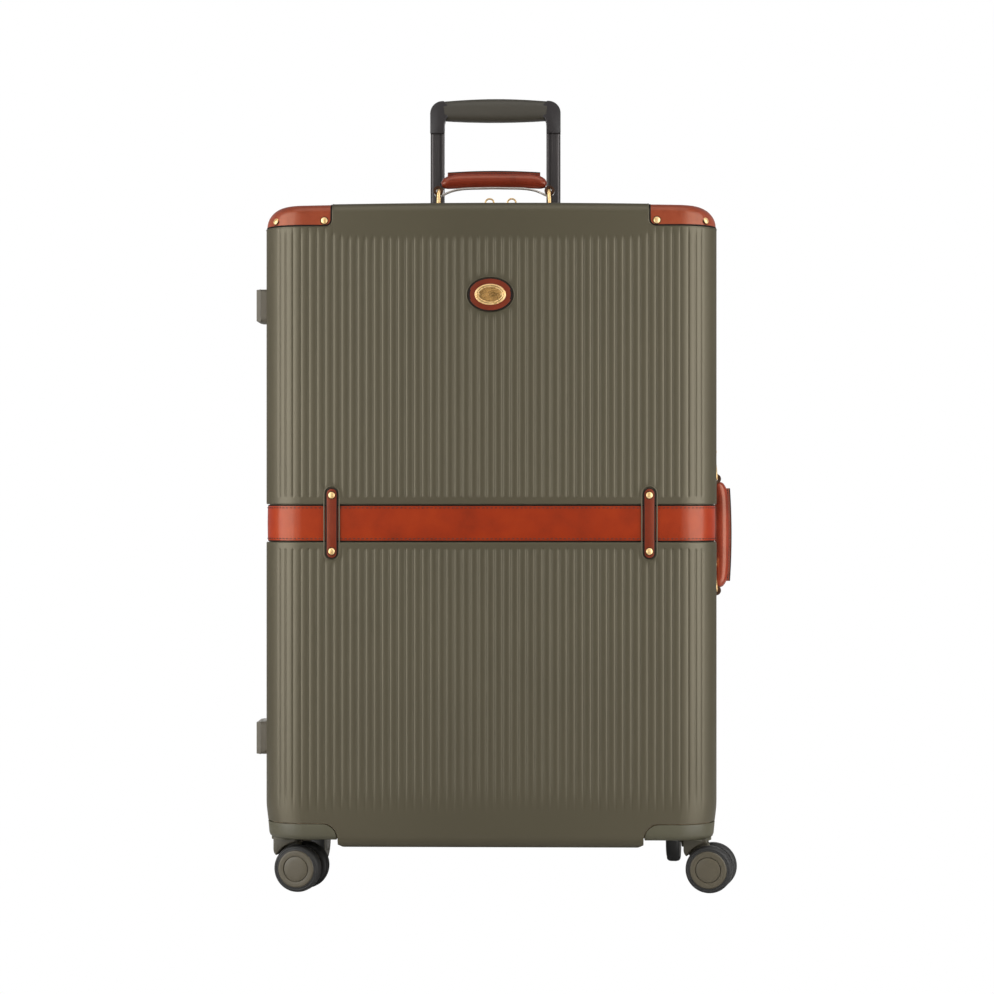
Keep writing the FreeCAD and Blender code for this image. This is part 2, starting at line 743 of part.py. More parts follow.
def make_fork(corner, x_side, y_side):
    """Fork between the wheels, with its swivel disc, its kingpin and the axle's bore."""
    disc_top = f"({HOUSING_FLOOR} - fit_gap)"
    disc_middle = f"({disc_top} - swivel_disc_height / 2)"
    head_foot = f"({HOUSING_FLOOR} + housing_plate + fit_gap)"
    name = f"caster_{corner}"
    disc = rod(f"{name}_disc", "Z", "swivel_disc_radius", "swivel_disc_height", ("0", "0", disc_middle))
    pin = rod(
        f"{name}_kingpin", "Z", "kingpin_radius", f"{head_foot} - {disc_middle} + kingpin_head_height / 2",
        ("0", "0", f"({head_foot} + {disc_middle} + kingpin_head_height / 2) / 2"),
    )
    head = rod(
        f"{name}_head", "Z", "kingpin_head_radius", "kingpin_head_height",
        ("0", "0", f"{head_foot} + kingpin_head_height / 2"),
    )
    sketch = doc.addObject("Sketcher::SketchObject", f"{name}_arm_outline")
    place(sketch, ("0", "0", "0"), AXIS_TURN["Y"])
    draw_outline(sketch, [
        ("-fork_half_width", disc_middle), ("trail - fork_boss_radius", "wheel_radius"),
        ("trail + fork_boss_radius", "wheel_radius"), ("fork_half_width", disc_middle),
    ])
    arm = extrude(f"{name}_arm", sketch, "fork_thickness")
    axle_place = ("trail", "0", "wheel_radius")
    boss = rod(f"{name}_boss", "Y", "fork_boss_radius", "fork_thickness", axle_place)
    bore = rod(f"{name}_axle_bore", "Y", "axle_radius + running_gap", "2 * fork_thickness", axle_place)
    casting = join(f"{name}_casting", disc, pin, head, arm, boss)
    place_caster(cut(f"{name}_fork", casting, bore), x_side, y_side)


def make_hubs(corner, x_side, y_side):
    """Two hubs with ringed caps, pressed on one axle that turns in the fork."""
    name = f"caster_{corner}"
    hubs = []
    for side in (-1, 1):
        def along(distance):
            return ("trail", f"{side} * (wheel_spacing / 2 + {distance})", "wheel_radius")
        disc = rod(f"{name}_disc_{side}", "Y", "cap_radius", "wheel_width", along("wheel_width / 2"))
        face = along("wheel_width")
        wide, core = (f"cap_groove_radius {sign} cap_groove_width / 2" for sign in "+-")
        ring = rod(f"{name}_ring_{side}", "Y", wide, "2 * cap_groove_depth", face)
        middle = rod(f"{name}_middle_{side}", "Y", core, "wheel_width", face)
        seat = rod(
            f"{name}_seat_{side}", "Y", "axle_radius + running_gap", "wheel_width - axle_cover",
            along("(wheel_width - axle_cover) / 2"),
        )
        groove = cut(f"{name}_groove_{side}", ring, middle)
        hubs.append(cut(f"{name}_hub_{side}", disc, groove, seat))
    length = "wheel_spacing + 2 * (wheel_width - axle_cover) - 2 * running_gap"
    axle = rod(f"{name}_axle", "Y", "axle_radius", length, ("trail", "0", "wheel_radius"))
    place_caster(group(f"{name}_hubs", *hubs, axle), x_side, y_side)


def make_tyres(corner, x_side, y_side):
    """Two tyres round the hubs, with rounded treads."""
    name = f"caster_{corner}"
    tyres = []
    for side in (-1, 1):
        inner = "(cap_radius + running_gap)"
        def draw(sketch):
            middle = (f"{side} * (wheel_spacing + wheel_width) / 2", f"(wheel_radius + {inner}) / 2")
            draw_rounded(sketch, "wheel_width - tyre_inset", f"wheel_radius - {inner}",
                         "tyre_bead_radius", "tyre_edge_radius", middle)
        body, sketch = new_body(f"{name}_tyre_{'a' if side < 0 else 'b'}", "XY_Plane", draw)
        turned = body.newObject("PartDesign::Revolution", f"{body.Name}_ring")
        turned.Profile = sketch
        turned.ReferenceAxis = (sketch, ["H_Axis"])
        turned.Angle = 360
        sketch.Visibility = False
        place(body, ("trail", "0", "wheel_radius"), FreeCAD.Rotation(FreeCAD.Vector(0, 0, 1), 90))
        tyres.append(body)
    place_caster(group(f"{name}_tyres", *tyres), x_side, y_side)


def make_feet():
    """Rounded feet on the hinge side, for laying the case down."""
    for half, y_side in HALVES.items():
        stagger = "foot_stagger" if half == "rear" else "0"
        heights = {
            "low": f"{CASE_BOTTOM} + foot_rise + {stagger}",
            "high": f"{CASE_TOP} - foot_drop - {stagger}",
        }
        feet = []
        for level, height in heights.items():
            def draw(sketch):
                draw_rounded(sketch, "foot_width", "foot_height", "foot_corner_radius", "foot_corner_radius")
            body, sketch = new_body(f"{half}_{level}_foot", "YZ_Plane", draw)
            pad = body.newObject("PartDesign::Pad", f"{body.Name}_pad")
            pad.Profile = sketch
            bind(pad, "Length", "foot_proud")
            doc.recompute()
            far = measure("foot_proud")
            rim = [
                f"Edge{number}" for number, edge in enumerate(pad.Shape.Edges, start=1)
                if min(vertex.Point.x for vertex in edge.Vertexes) > far / 2
            ]
            soft = body.newObject("PartDesign::Fillet", f"{body.Name}_soft_rim")
            soft.Base = (pad, rim)
            bind(soft, "Radius", "foot_edge_radius")
            half_turn = FreeCAD.Rotation(FreeCAD.Vector(0, 0, 1), 180)
            place(body, (f"-{HALF_WIDTH}", f"{y_side} * foot_y", height), half_turn)
            feet.append(body)
        keep(group(f"{half}_side_feet", *feet))


def make_hinges():
    """Two hinges on the left side: leaves with interleaved knuckles, and a pin through each."""
    knuckles = {"front": (-1, 1), "rear": (-2, 0, 2)}
    for half, y_side in HALVES.items():
        leaves = []
        for level in (-1, 1):
            name = f"{half}_leaf_{level}"
            centre_z = f"({BELT_Z} + {level} * hinge_spread)"
            plate_y = f"{y_side} * (leaf_start + leaf_width) / 2"
            plate_size = ("leaf_thickness", "leaf_width - leaf_start", "4 * knuckle_pitch + knuckle_length")
            plate_centre = (f"-{HALF_WIDTH} - leaf_thickness / 2", plate_y, centre_z)
            pieces = [block(f"{name}_plate", plate_size, plate_centre)]
            for step in knuckles[half]:
                height = f"{centre_z} + {step} * knuckle_pitch"
                pieces.append(rod(f"{name}_knuckle_{step}", "Z", "knuckle_radius", "knuckle_length",
                                  (HINGE_X, "0", height)))
                neck_size = ("hinge_offset", "knuckle_radius - leaf_gap", "knuckle_length")
                neck_y = f"{y_side} * (knuckle_radius + leaf_gap) / 2"
                neck_centre = (f"{HINGE_X} + hinge_offset / 2", neck_y, height)
                pieces.append(block(f"{name}_neck_{step}", neck_size, neck_centre))
            bore_radius = "hinge_pin_radius + running_gap"
            bore = rod(f"{name}_bore", "Z", bore_radius, BEYOND, (HINGE_X, "0", centre_z))
            leaves.append(cut(name, join(f"{name}_whole", *pieces), bore))
        keep(group(f"hinge_{half}_leaves", *leaves))
    pins = [
        rod(f"hinge_pin_{level}", "Z", "hinge_pin_radius", "4 * knuckle_pitch + knuckle_length",
            (HINGE_X, "0", f"{BELT_Z} + {level} * hinge_spread"))
        for level in (-1, 1)
    ]
    keep(group("hinge_pins", *pins))


def make_sliders():
    """Two zip sliders on the top of the case, each with a pull that hinges on its pin."""
    pin_z = f"({CASE_TOP} + pull_pin_rise)"
    foot = f"({CASE_TOP} - chain_recess + bond_gap)"
    for side in ("left", "right"):
        x = f"slider_{side}_x"
        name = f"zip_slider_{side}"
        pieces = [block(f"{name}_plate", ("slider_length", "slider_width", "slider_height"),
                        (x, "0", f"{foot} + slider_height / 2"))]
        post_top = f"({pin_z} + post_rise)"
        for end in (-1, 1):
            post_x = f"{x} + {end} * (slider_length - post_thickness) / 2"
            post_size = ("post_thickness", "post_width", f"{post_top} - {foot}")
            post_centre = (post_x, "0", f"({post_top} + {foot}) / 2")
            pieces.append(block(f"{name}_post_{end}", post_size, post_centre))
        pin_length = "slider_length - post_thickness"
        pieces.append(rod(f"{name}_pin", "X", "pull_pin_radius", pin_length, (x, "0", pin_z)))
        keep(join(name, *pieces))
        pull = f"zip_pull_{side}"
        eye = rod(f"{pull}_eye", "X", "pull_eye_radius", "pull_eye_width", (x, "0", pin_z))
        neck = block(f"{pull}_neck", ("pull_eye_width", "pull_thickness", "2 * pull_start"),
                     (x, "0", f"{pin_z} + pull_start"))
        height = "pull_height - pull_start"
        tab = rounded(f"{pull}_tab", "Y", "pull_width", height, "pull_foot_radius", "pull_head_radius",
                      "pull_thickness", (x, "0", f"{pin_z} + pull_start + ({height}) / 2"))
        bore = rod(f"{pull}_bore", "X", "pull_pin_radius + running_gap", "slider_length", (x, "0", pin_z))
        keep(cut(pull, join(f"{pull}_whole", eye, neck, tab), bore))


def make_straps():
    """Webbing straps that run up the back of the rear half, inside."""
    inset = "(wall + lining_gap + lining_thickness + bond_gap)"
    depth = f"({HALF_DEPTH} - {inset} - channel_depth)"
    reach = f"sqrt((rim_radius - {inset}) ^ 2 - (rim_radius - {inset} - channel_depth) ^ 2)"
    length = f"case_height - 2 * (rim_radius - {reach})"
    straps = [
        block(f"strap_{x_side}", ("strap_width", "strap_thickness", length),
              (f"{x_side} * strap_x", f"{depth} - strap_thickness / 2", CASE_MIDDLE))
        for x_side in (-1, 1)
    ]
    keep(group("packing_straps", *straps))


def tube_prism(name, x_side, grow, low, high):
    """Upright rounded prism on the line of one of the pull handle's tubes."""
    return rounded(
        name, "Z", f"tube_width + 2 * ({grow})", f"tube_depth + 2 * ({grow})", f"tube_radius + ({grow})",
        f"tube_radius + ({grow})", f"({high}) - ({low})",
        (f"{x_side} * tube_x", "trolley_y", f"(({high}) + ({low})) / 2"),
    )


def make_tubes():
    """Three pairs of tubes that slide in each other."""
    step = "(tube_gap + tube_wall)"
    stages = {
        "trolley_inner_tubes": ("0", f"{OUTER_FOOT} + inner_end_room", CORNER_FOOT),
        "trolley_mid_tubes": (step, f"{OUTER_FOOT} + stage_end_gap", f"{CUP_FLOOR} + stage_end_gap / 2"),
        "trolley_outer_tubes": (f"2 * {step}", OUTER_FOOT, CUP_FLOOR),
    }
    for name, (grow, low, high) in stages.items():
        pair = []
        for x_side in (-1, 1):
            solid = tube_prism(f"{name}_solid_{x_side}", x_side, grow, low, high)
            bore_ends = (f"{low} - wall", f"{high} + wall")
            bore = tube_prism(f"{name}_bore_{x_side}", x_side, f"{grow} - tube_wall", *bore_ends)
            pair.append(cut(f"{name}_{'left' if x_side < 0 else 'right'}", solid, bore))
        keep(group(name, *pair))


def make_trolley_carriers():
    """Cup in the top of the rear shell and bracket at its foot, which hold the outer tubes."""
    outer_grow = "2 * (tube_gap + tube_wall) + tube_gap"
    rim = f"{CASE_TOP} + cup_flange_height"
    shell = cup_prism("cup_outside", "cup_wall", f"{CUP_FLOOR} - cup_wall", rim)
    flange = cup_prism("cup_rim", "cup_wall + cup_flange", CASE_TOP, rim)
    cavity = cup_prism("cup_cavity", "0", CUP_FLOOR, f"{CASE_TOP} + cup_depth")
    hole_ends = (f"{CUP_FLOOR} - cup_depth", f"{CUP_FLOOR} + cup_wall")
    holes = [
        tube_prism(f"cup_tube_hole_{x_side}", x_side, outer_grow, *hole_ends)
        for x_side in (-1, 1)
    ]
    keep(cut("trolley_cup", join("cup_whole", shell, flange), cavity, *holes))
    back = f"({HALF_DEPTH} - wall - bond_gap)"
    front = "(trolley_y - cup_half_width)"
    low = f"({OUTER_FOOT} - foot_bracket_wall)"
    high = f"({OUTER_FOOT} + foot_bracket_height)"
    bracket = block(
        "bracket_block", ("2 * cup_half_length", f"{back} - {front}", f"{high} - {low}"),
        ("0", f"({back} + {front}) / 2", f"({high} + {low}) / 2"),
    )
    seats = [
        tube_prism(f"bracket_seat_{x_side}", x_side, outer_grow, OUTER_FOOT, f"{high} + wall")
        for x_side in (-1, 1)
    ]
    keep(cut("trolley_foot_bracket", bracket, *seats))


def make_grip():
    """Grip bar, its two corner pieces and the release button with its bar and rods."""
    grip_middle = f"({GRIP_TOP} + grip_crown - grip_height / 2)"
    grip_foot = f"({grip_middle} - grip_height / 2)"
    grip = rounded("grip_bar", "X", "grip_depth", "grip_height", "grip_radius", "grip_radius",
                   "2 * grip_half_length", ("0", "trolley_y", grip_middle))
    slot_high = f"({GRIP_TOP} - button_depth)"
    slot_low = f"({slot_high} - slot_height)"
    slot_length = "2 * (tube_x + rod_radius + button_travel)"
    slot_width = "2 * (rod_radius + button_travel / 2)"
    slot = block("grip_slot", (slot_length, slot_width, "slot_height"),
                 ("0", "trolley_y", f"({slot_high} + {slot_low}) / 2"))

    def button_prism(name, grow, low, high):
        return rounded(
            name, "Z", f"button_length + 2 * ({grow})", f"button_width + 2 * ({grow})",
            f"button_end_radius + ({grow})", f"button_end_radius + ({grow})", f"({high}) - ({low})",
            ("0", "trolley_y", f"(({high}) + ({low})) / 2"),
        )

    window = button_prism("button_window", "button_gap", slot_low, f"{GRIP_TOP} + grip_height")
    keep(cut("trolley_grip", grip, slot, window))

    corners = []
    for x_side in (-1, 1):
        def span(name, inner, outer, depth, low, high):
            size = (f"({outer}) - ({inner})", depth, f"({high}) - ({low})")
            centre = (f"{x_side} * (({outer}) + ({inner})) / 2", "trolley_y", f"(({high}) + ({low})) / 2")
            return block(f"{name}_{x_side}", size, centre)
        arm = span("corner_arm", "grip_half_length", "corner_half_length", "corner_depth",
                   grip_foot, GRIP_TOP)
        leg = span("corner_leg", "2 * tube_x - corner_half_length", "corner_half_length", "corner_depth",
                   CORNER_FOOT, f"{grip_foot} - bond_gap")
        neck = span("corner_neck", "grip_half_length", "corner_half_length", "corner_depth",
                    f"{grip_foot} - wall", f"{grip_foot} + wall")
        square_ends = (f"corner_half_length {sign} corner_radius" for sign in "-+")
        square = span("corner_square", *square_ends, "2 * corner_depth",
                      f"{GRIP_TOP} - corner_radius", f"{GRIP_TOP} + corner_radius")
        turn_x = f"{x_side} * (corner_half_length - corner_radius)"
        turn_centre = (turn_x, "trolley_y", f"{GRIP_TOP} - corner_radius")
        turn = rod(f"corner_turn_{x_side}", "Y", "corner_radius", "4 * corner_depth", turn_centre)
        shaved = cut(f"corner_shaving_{x_side}", square, turn)
        plug = tube_prism(f"corner_plug_{x_side}", x_side, "-tube_wall - tube_gap",
                          f"{CORNER_FOOT} - plug_length", f"{CORNER_FOOT} + wall")
        bore = rod(f"corner_bore_{x_side}", "Z", "rod_radius + button_gap", "2 * case_depth",
                   (f"{x_side} * tube_x", "trolley_y", f"{slot_high} - case_depth"))
        solid = join(f"corner_whole_{x_side}", arm, leg, neck, plug)
        corners.append(cut(f"corner_{'left' if x_side < 0 else 'right'}", solid, shaved, slot, bore))
    keep(group("trolley_corners", *corners))

    bar_high = f"({slot_high} - bond_gap)"
    bar_low = f"({bar_high} - 2 * rod_radius)"
    pieces = [
        button_prism("button_cap", "0", bar_low, f"{GRIP_TOP} + grip_crown + button_proud"),
        block("release_bar", ("2 * (tube_x + rod_radius)", "2 * rod_radius", f"{bar_high} - {bar_low}"),
              ("0", "trolley_y", f"({bar_high} + {bar_low}) / 2")),
    ]
    for x_side in (-1, 1):
        pieces.append(rod(f"release_rod_{x_side}", "Z", "rod_radius", "rod_length",
                          (f"{x_side} * tube_x", "trolley_y", f"{bar_high} - rod_length / 2")))
    keep(join("release_button", *pieces))


def make_bracket(name):
    """Bracket drawn about the point under its ring's pivot, facing up."""
    pivot = ("0", "0", "ring_pivot_height")
    plate = block(f"{name}_plate", ("bracket_length", "bracket_width", "bracket_plate"),
                  ("0", "0", "bracket_plate / 2"))
    loop = rod(f"{name}_loop", "Y", BRACKET_LOOP, "bracket_loop_width", pivot)
    web = block(f"{name}_web", (BRACKET_LOOP, "bracket_loop_width", "ring_pivot_height"),
                ("0", "0", "ring_pivot_height / 2"))
    bore = rod(f"{name}_bore", "Y", "ring_radius + running_gap", "2 * bracket_width", pivot)
    return cut(name, join(f"{name}_whole", plate, loop, web), bore)


def make_ring(name):
    """Oblong ring drawn about its pivot, standing up."""
    high = ("0", "0", "ring_length")
    pieces = [
        rod(f"{name}_foot", "Y", "ring_radius", "2 * ring_half_width", ("0", "0", "0")),
        rod(f"{name}_head", "Y", "ring_radius", "2 * ring_half_width", high),
    ]
    for side in (-1, 1):
        y = f"{side} * ring_half_width"
        bar_centre = ("0", y, "ring_length / 2")
        pieces.append(rod(f"{name}_bar_{side}", "Z", "ring_radius", "ring_length", bar_centre))
        pieces.append(ball(f"{name}_turn_low_{side}", "ring_radius", ("0", y, "0")))
        pieces.append(ball(f"{name}_turn_high_{side}", "ring_radius", ("0", y, "ring_length")))
    return join(name, *pieces)


def make_leather(name):
    """Rolled leather handle with a stitched ridge, drawn about the line between its two loops."""
    pieces = [
        rod(f"{name}_roll", "X", "roll_radius", f"2 * {ROLL_HALF_LENGTH}", ("0", "0", ROLL_RISE)),
        block(f"{name}_ridge", ("2 * ridge_half_length", "ridge_thickness", f"ridge_top - {ROLL_RISE}"),
              ("0", "0", f"(ridge_top + {ROLL_RISE}) / 2")),
    ]
    bores = []
    for end, gap in ((-1, "2 * running_gap"), (1, "loop_gap")):
        place_of_loop = (f"{end} * handle_span / 2", "0", "0")
        pieces.append(rod(f"{name}_loop_{end}", "Y", LEATHER_LOOP, "loop_width", place_of_loop))
        tab_start = f"({ROLL_HALF_LENGTH} - roll_radius)"
        tab_size = (f"handle_span / 2 - {tab_start}", "loop_width", ROLL_RISE)
        tab_centre = (f"{end} * (handle_span / 2 + {tab_start}) / 2", "0", f"{ROLL_RISE} / 2 + loop_wall")
        pieces.append(block(f"{name}_tab_{end}", tab_size, tab_centre))
        bore_radius = f"ring_radius + {gap}"
        bores.append(rod(f"{name}_bore_{end}", "Y", bore_radius, "2 * loop_width", place_of_loop))
    return cut(name, join(f"{name}_whole", *pieces), *bores)


def make_handles():
    """Carrying handles on the top and on the right side. Each hangs in two rings that swing together."""
    side_z = f"({CASE_BOTTOM} + side_handle_rise)"
    lean = measure("side_handle_lean")
    across = FreeCAD.Vector(0, 1, 0)
    brackets = []
    for number, ring_side in ((-1, "left"), (1, "right")):
        x = f"{number} * handle_span / 2"
        bracket = make_bracket(f"top_bracket_{ring_side}")
        brackets.append(place(bracket, (x, "handle_y", CASE_TOP)))
        pivot = (x, "handle_y", f"{CASE_TOP} + ring_pivot_height")
        keep(place(make_ring(f"top_ring_{ring_side}"), pivot))
    grip_z = f"{CASE_TOP} + ring_pivot_height + ring_length"
    keep(place(make_leather("top_handle"), ("0", "handle_y", grip_z)))

    flat = FreeCAD.Rotation(across, 90)
    leaning = FreeCAD.Rotation(across, 90 + lean)
    for number, ring_side in ((-1, "upper"), (1, "lower")):
        z = f"{side_z} - {number} * handle_span / 2"
        bracket = make_bracket(f"side_bracket_{ring_side}")
        brackets.append(place(bracket, (HALF_WIDTH, "handle_y", z), flat))
        pivot = (f"{HALF_WIDTH} + ring_pivot_height", "handle_y", z)
        keep(place(make_ring(f"side_ring_{ring_side}"), pivot, leaning))
    out = f"{HALF_WIDTH} + ring_pivot_height + ring_length * cos(side_handle_lean)"
    down = f"{side_z} - ring_length * sin(side_handle_lean)"
    keep(place(make_leather("side_handle"), (out, "handle_y", down), flat))
    keep(group("handle_brackets", *brackets))


def make_lock():
    """Dial lock let into the top of the rear shell: body with axle, three dials and a button."""
    face = f"({CASE_TOP} + lock_flange_height)"
    dial_z = f"({face} + dial_proud - dial_radius)"
    body = join(
        "lock_whole",
        lock_block("lock_block", "0", f"{CASE_TOP} - lock_depth", face),
        lock_block("lock_rim", "lock_flange", CASE_TOP, face),
    )
    slots = []
    for number in range(3):
        centre = (f"(dial_first_x + {number} * dial_pitch)", "lock_y", dial_z)
        room = "2 * (dial_radius + dial_room)"
        slot_size = ("dial_width + 2 * dial_room", room, f"{room} + dial_radius")
        slot_centre = (*centre[:2], f"{dial_z} + dial_radius / 2")
        slots.append(block(f"dial_slot_{number}", slot_size, slot_centre))
        disc = rod(f"dial_disc_{number}", "X", "dial_radius", "dial_width", centre)
        bore_radius = "dial_axle_radius + running_gap"
        bore = rod(f"dial_bore_{number}", "X", bore_radius, "2 * dial_width", centre)
        keep(cut(f"lock_dial_{number + 1}", disc, bore))
    button_top = f"({face} + lock_button_proud)"
    size = ("lock_button_length", "lock_button_width", "lock_button_height")
    keep(block("lock_button", size, ("lock_button_x", "lock_y", f"{button_top} - lock_button_height / 2")))
    well_size = [f"{text} + 2 * button_gap" for text in size[:2]]
    well_height = "(lock_button_height + lock_button_travel + button_gap)"
    well = block("lock_button_well", (*well_size, well_height),
                 ("lock_button_x", "lock_y", f"{button_top} - {well_height} / 2"))
    axle = rod("dial_axle", "X", "dial_axle_radius", "3 * dial_pitch",
               ("dial_first_x + dial_pitch", "lock_y", dial_z))
    keep(join("lock_body", cut("lock_case", body, *slots, well), axle))


make_shells()
make_linings()
make_zip()
make_belt()
make_guards()
make_rivets()
make_badge()
make_housings()
for corner, (x_side, y_side) in CORNERS.items():
    make_fork(corner, x_side, y_side)
    make_hubs(corner, x_side, y_side)
    make_tyres(corner, x_side, y_side)
make_feet()
make_hinges()
make_sliders()
make_straps()
make_tubes()
make_trolley_carriers()
make_grip()
make_handles()
make_lock()
doc.recompute()

for thing in doc.Objects:
    if "Invalid" in thing.State or "Error" in thing.State:
        raise RuntimeError(f"{thing.Label} failed: {thing.State}")
for thing in subparts:
    if thing.Shape.isNull() or not thing.Shape.isValid() or not thing.Shape.Solids:
        raise RuntimeError(f"{thing.Label} has no valid solid")

os.makedirs("parts", exist_ok=True)
for thing in subparts:
    thing.Shape.exportStep(f"parts/{thing.Label}.step")
    box = thing.Shape.BoundBox
    print(f"{thing.Label}: {len(thing.Shape.Solids)} solids, {thing.Shape.Volume:.0f} mm3, "
          f"x {box.XMin:.1f} to {box.XMax:.1f}, y {box.YMin:.1f} to {box.YMax:.1f}, "
          f"z {box.ZMin:.1f} to {box.ZMax:.1f}")
print(f"{len(subparts)} sub-parts")
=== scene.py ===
from contextlib import contextmanager
import json
import math

import bpy
import numpy as np
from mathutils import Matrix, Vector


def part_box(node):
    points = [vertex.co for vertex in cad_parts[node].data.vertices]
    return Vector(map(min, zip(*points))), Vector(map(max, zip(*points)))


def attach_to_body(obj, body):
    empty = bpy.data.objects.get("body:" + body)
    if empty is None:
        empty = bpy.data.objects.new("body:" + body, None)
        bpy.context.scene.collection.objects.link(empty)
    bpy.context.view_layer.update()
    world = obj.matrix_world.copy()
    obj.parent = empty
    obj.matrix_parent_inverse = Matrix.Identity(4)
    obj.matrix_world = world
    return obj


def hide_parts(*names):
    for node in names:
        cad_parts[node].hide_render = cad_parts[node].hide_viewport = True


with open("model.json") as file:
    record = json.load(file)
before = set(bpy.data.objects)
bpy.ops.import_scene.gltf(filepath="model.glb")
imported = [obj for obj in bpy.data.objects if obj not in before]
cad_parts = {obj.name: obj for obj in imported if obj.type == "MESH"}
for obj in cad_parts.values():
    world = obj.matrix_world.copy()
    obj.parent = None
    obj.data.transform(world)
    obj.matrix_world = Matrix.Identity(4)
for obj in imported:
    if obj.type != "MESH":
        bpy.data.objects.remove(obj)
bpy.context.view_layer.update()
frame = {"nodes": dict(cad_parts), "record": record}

# Half shells
# Two deep trays of olive polycarbonate, drawn hot over a ribbed mould and trimmed at the zip.
# Each carries a channel for the belt and sunk seats for the keepers, the badge and the corner guards.
shell_low, shell_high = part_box("front_shell")
half_width = shell_high[0]
front_face = shell_low[1]
parting = shell_high[1]
case_bottom = shell_low[2]
case_top = shell_high[2]
plan_radius = 0.045
rim_radius = 0.012
crown_radius = 0.0235
sole_radius = 0.014
top_bow = 0.003
shell_wall = 0.0036
wall_foot = 0.068
wall_head = 0.760
corner_wall_head = 0.757
foot_taper = 0.0125
right_angle = math.pi / 2
flat_half = half_width - plan_radius
bend_end = flat_half + plan_radius * right_angle
outline_end = bend_end + parting - front_face - plan_radius
belt_middle = 0.4235
groove_pitch = 0.0092
groove_half = 0.0020
groove_depth = 0.00076
last_groove = 0.2438
keeper_x = 0.181
keeper_reach = 0.0405
keeper_half = 0.00685
badge_z = 0.684


def plan_outline(along):
    """Place and outward direction on the front half's plan, by distance from the middle of its front."""
    side = np.sign(along)
    turn = np.clip((np.abs(along) - flat_half) / plan_radius, 0, right_angle)
    back = np.clip(np.abs(along) - bend_end, 0, None)
    x = side * (np.minimum(np.abs(along), flat_half) + plan_radius * np.sin(turn))
    y = front_face + plan_radius * (1 - np.cos(turn)) + back
    return x, y, side * np.sin(turn), -np.cos(turn)


def half_columns(side, bend, inset=0.0):
    """Distances along the right bend and side of the outline, with so many points on each."""
    return np.concatenate([np.linspace(flat_half, bend_end, bend)[:-1],
                           np.linspace(bend_end, outline_end - inset, side)])


def columns_round(side, bend, front, inset=0.0):
    """Distances along the whole outline, from its left end to its right."""
    half = half_columns(side, bend, inset)
    return np.concatenate([-half[::-1], np.linspace(-flat_half, flat_half, front)[1:-1], half])


def ease(value, low, high):
    """Smooth step from 0 at low to 1 at high."""
    share = np.clip((value - low) / (high - low), 0, 1)
    return share * share * (3 - 2 * share)


def top_height(x):
    """Height of the slightly bowed top face."""
    return case_top - top_bow * (x / half_width) ** 2


def rows_of(zone, places, lift=0.0):
    """Rows of one zone of the profile, as case_points takes them."""
    return [(zone, place, lift) for place in places]


def case_points(along, rows):
    """Rows of points on the front half. Each row is a zone of the profile, a place in it and a lift."""
    x, y, nx, ny = plan_outline(along)
    crown = rim_radius + (crown_radius - rim_radius) * nx**2
    sole = rim_radius + (sole_radius - rim_radius) * nx**2
    top = top_height(x)
    seam_x = along * (flat_half / outline_end)
    points = []
    for zone, amount, lift in rows:
        fillet = crown if zone in ("crown", "top") else sole
        if zone in ("top", "base"):
            px = x - nx * fillet
            py = y - ny * fillet
            px = px + amount * (seam_x - px)
            py = py + amount * (parting - py)
            pz = top_height(px) + lift if zone == "top" else np.full_like(px, case_bottom - lift)
            points.append(np.stack([px, py, pz], 1))
            continue
        out = lift
        if zone == "wall":
            z = np.full_like(x, amount)
        elif zone == "shoulder":
            start = np.where(top - crown < wall_head, corner_wall_head, wall_head)
            z = start + amount * (top - crown - start)
        elif zone == "foot":
            z = case_bottom + sole + amount * (wall_foot - case_bottom - sole)
        else:
            out = lift * math.cos(amount) - fillet * (1 - math.cos(amount))
            rise = (fillet + lift) * math.sin(amount)
            z = top - crown + rise if zone == "crown" else case_bottom + sole - rise
        points.append(np.stack([x + nx * out, y + ny * out, z], 1))
    points = np.array(points)
    points[:, :, 0] *= 1 - foot_taper * ease(-points[:, :, 2], -0.104, -0.066)
    return points


def only(piece):
    """Select one object and make it active."""
    bpy.ops.object.select_all(action="DESELECT")
    piece.select_set(True)
    bpy.context.view_layer.objects.active = piece


@contextmanager
def editing(piece, select="SELECT", kind="EDGE", test=None):
    """Edit mode on one piece, with all of it, nothing, or what passes a test selected."""
    only(piece)
    bpy.ops.object.mode_set(mode="EDIT")
    bpy.ops.mesh.select_mode(type=kind)
    bpy.ops.mesh.select_all(action=select)
    if test:
        bpy.ops.object.mode_set(mode="OBJECT")
        for part in piece.data.edges if kind == "EDGE" else piece.data.polygons:
            part.select = test(part)
        bpy.ops.object.mode_set(mode="EDIT")
    yield
    bpy.ops.object.mode_set(mode="OBJECT")


def moulded_sheet(name, points):
    """A grid primitive with its vertices moved to rows of points."""
    points = np.array(points)
    rows, columns = points.shape[:2]
    bpy.ops.object.select_all(action="DESELECT")
    bpy.ops.mesh.primitive_grid_add(x_subdivisions=columns - 1, y_subdivisions=rows - 1)
    piece = bpy.context.object
    piece.name = name
    piece.data.vertices.foreach_set("co", points.reshape(-1))
    piece.data.update()
    return piece


def apply_modifier(piece, kind, **settings):
    """Add a modifier, set it and apply it."""
    only(piece)
    bpy.ops.object.modifier_add(type=kind)
    modifier = piece.modifiers[-1]
    for setting, value in settings.items():
        setattr(modifier, setting, value)
    bpy.ops.object.modifier_apply(modifier=modifier.name)


def cut_with(piece, cutter, operation="DIFFERENCE"):
    """Boolean with a cutter that is then thrown away."""
    apply_modifier(piece, "BOOLEAN", object=cutter, operation=operation, solver="EXACT")
    bpy.data.objects.remove(cutter)


def join(pieces, name):
    """Join pieces into the first one."""
    only(pieces[0])
    for piece in pieces:
        piece.select_set(True)
    if len(pieces) > 1:
        bpy.ops.object.join()
    pieces[0].name = name
    return pieces[0]


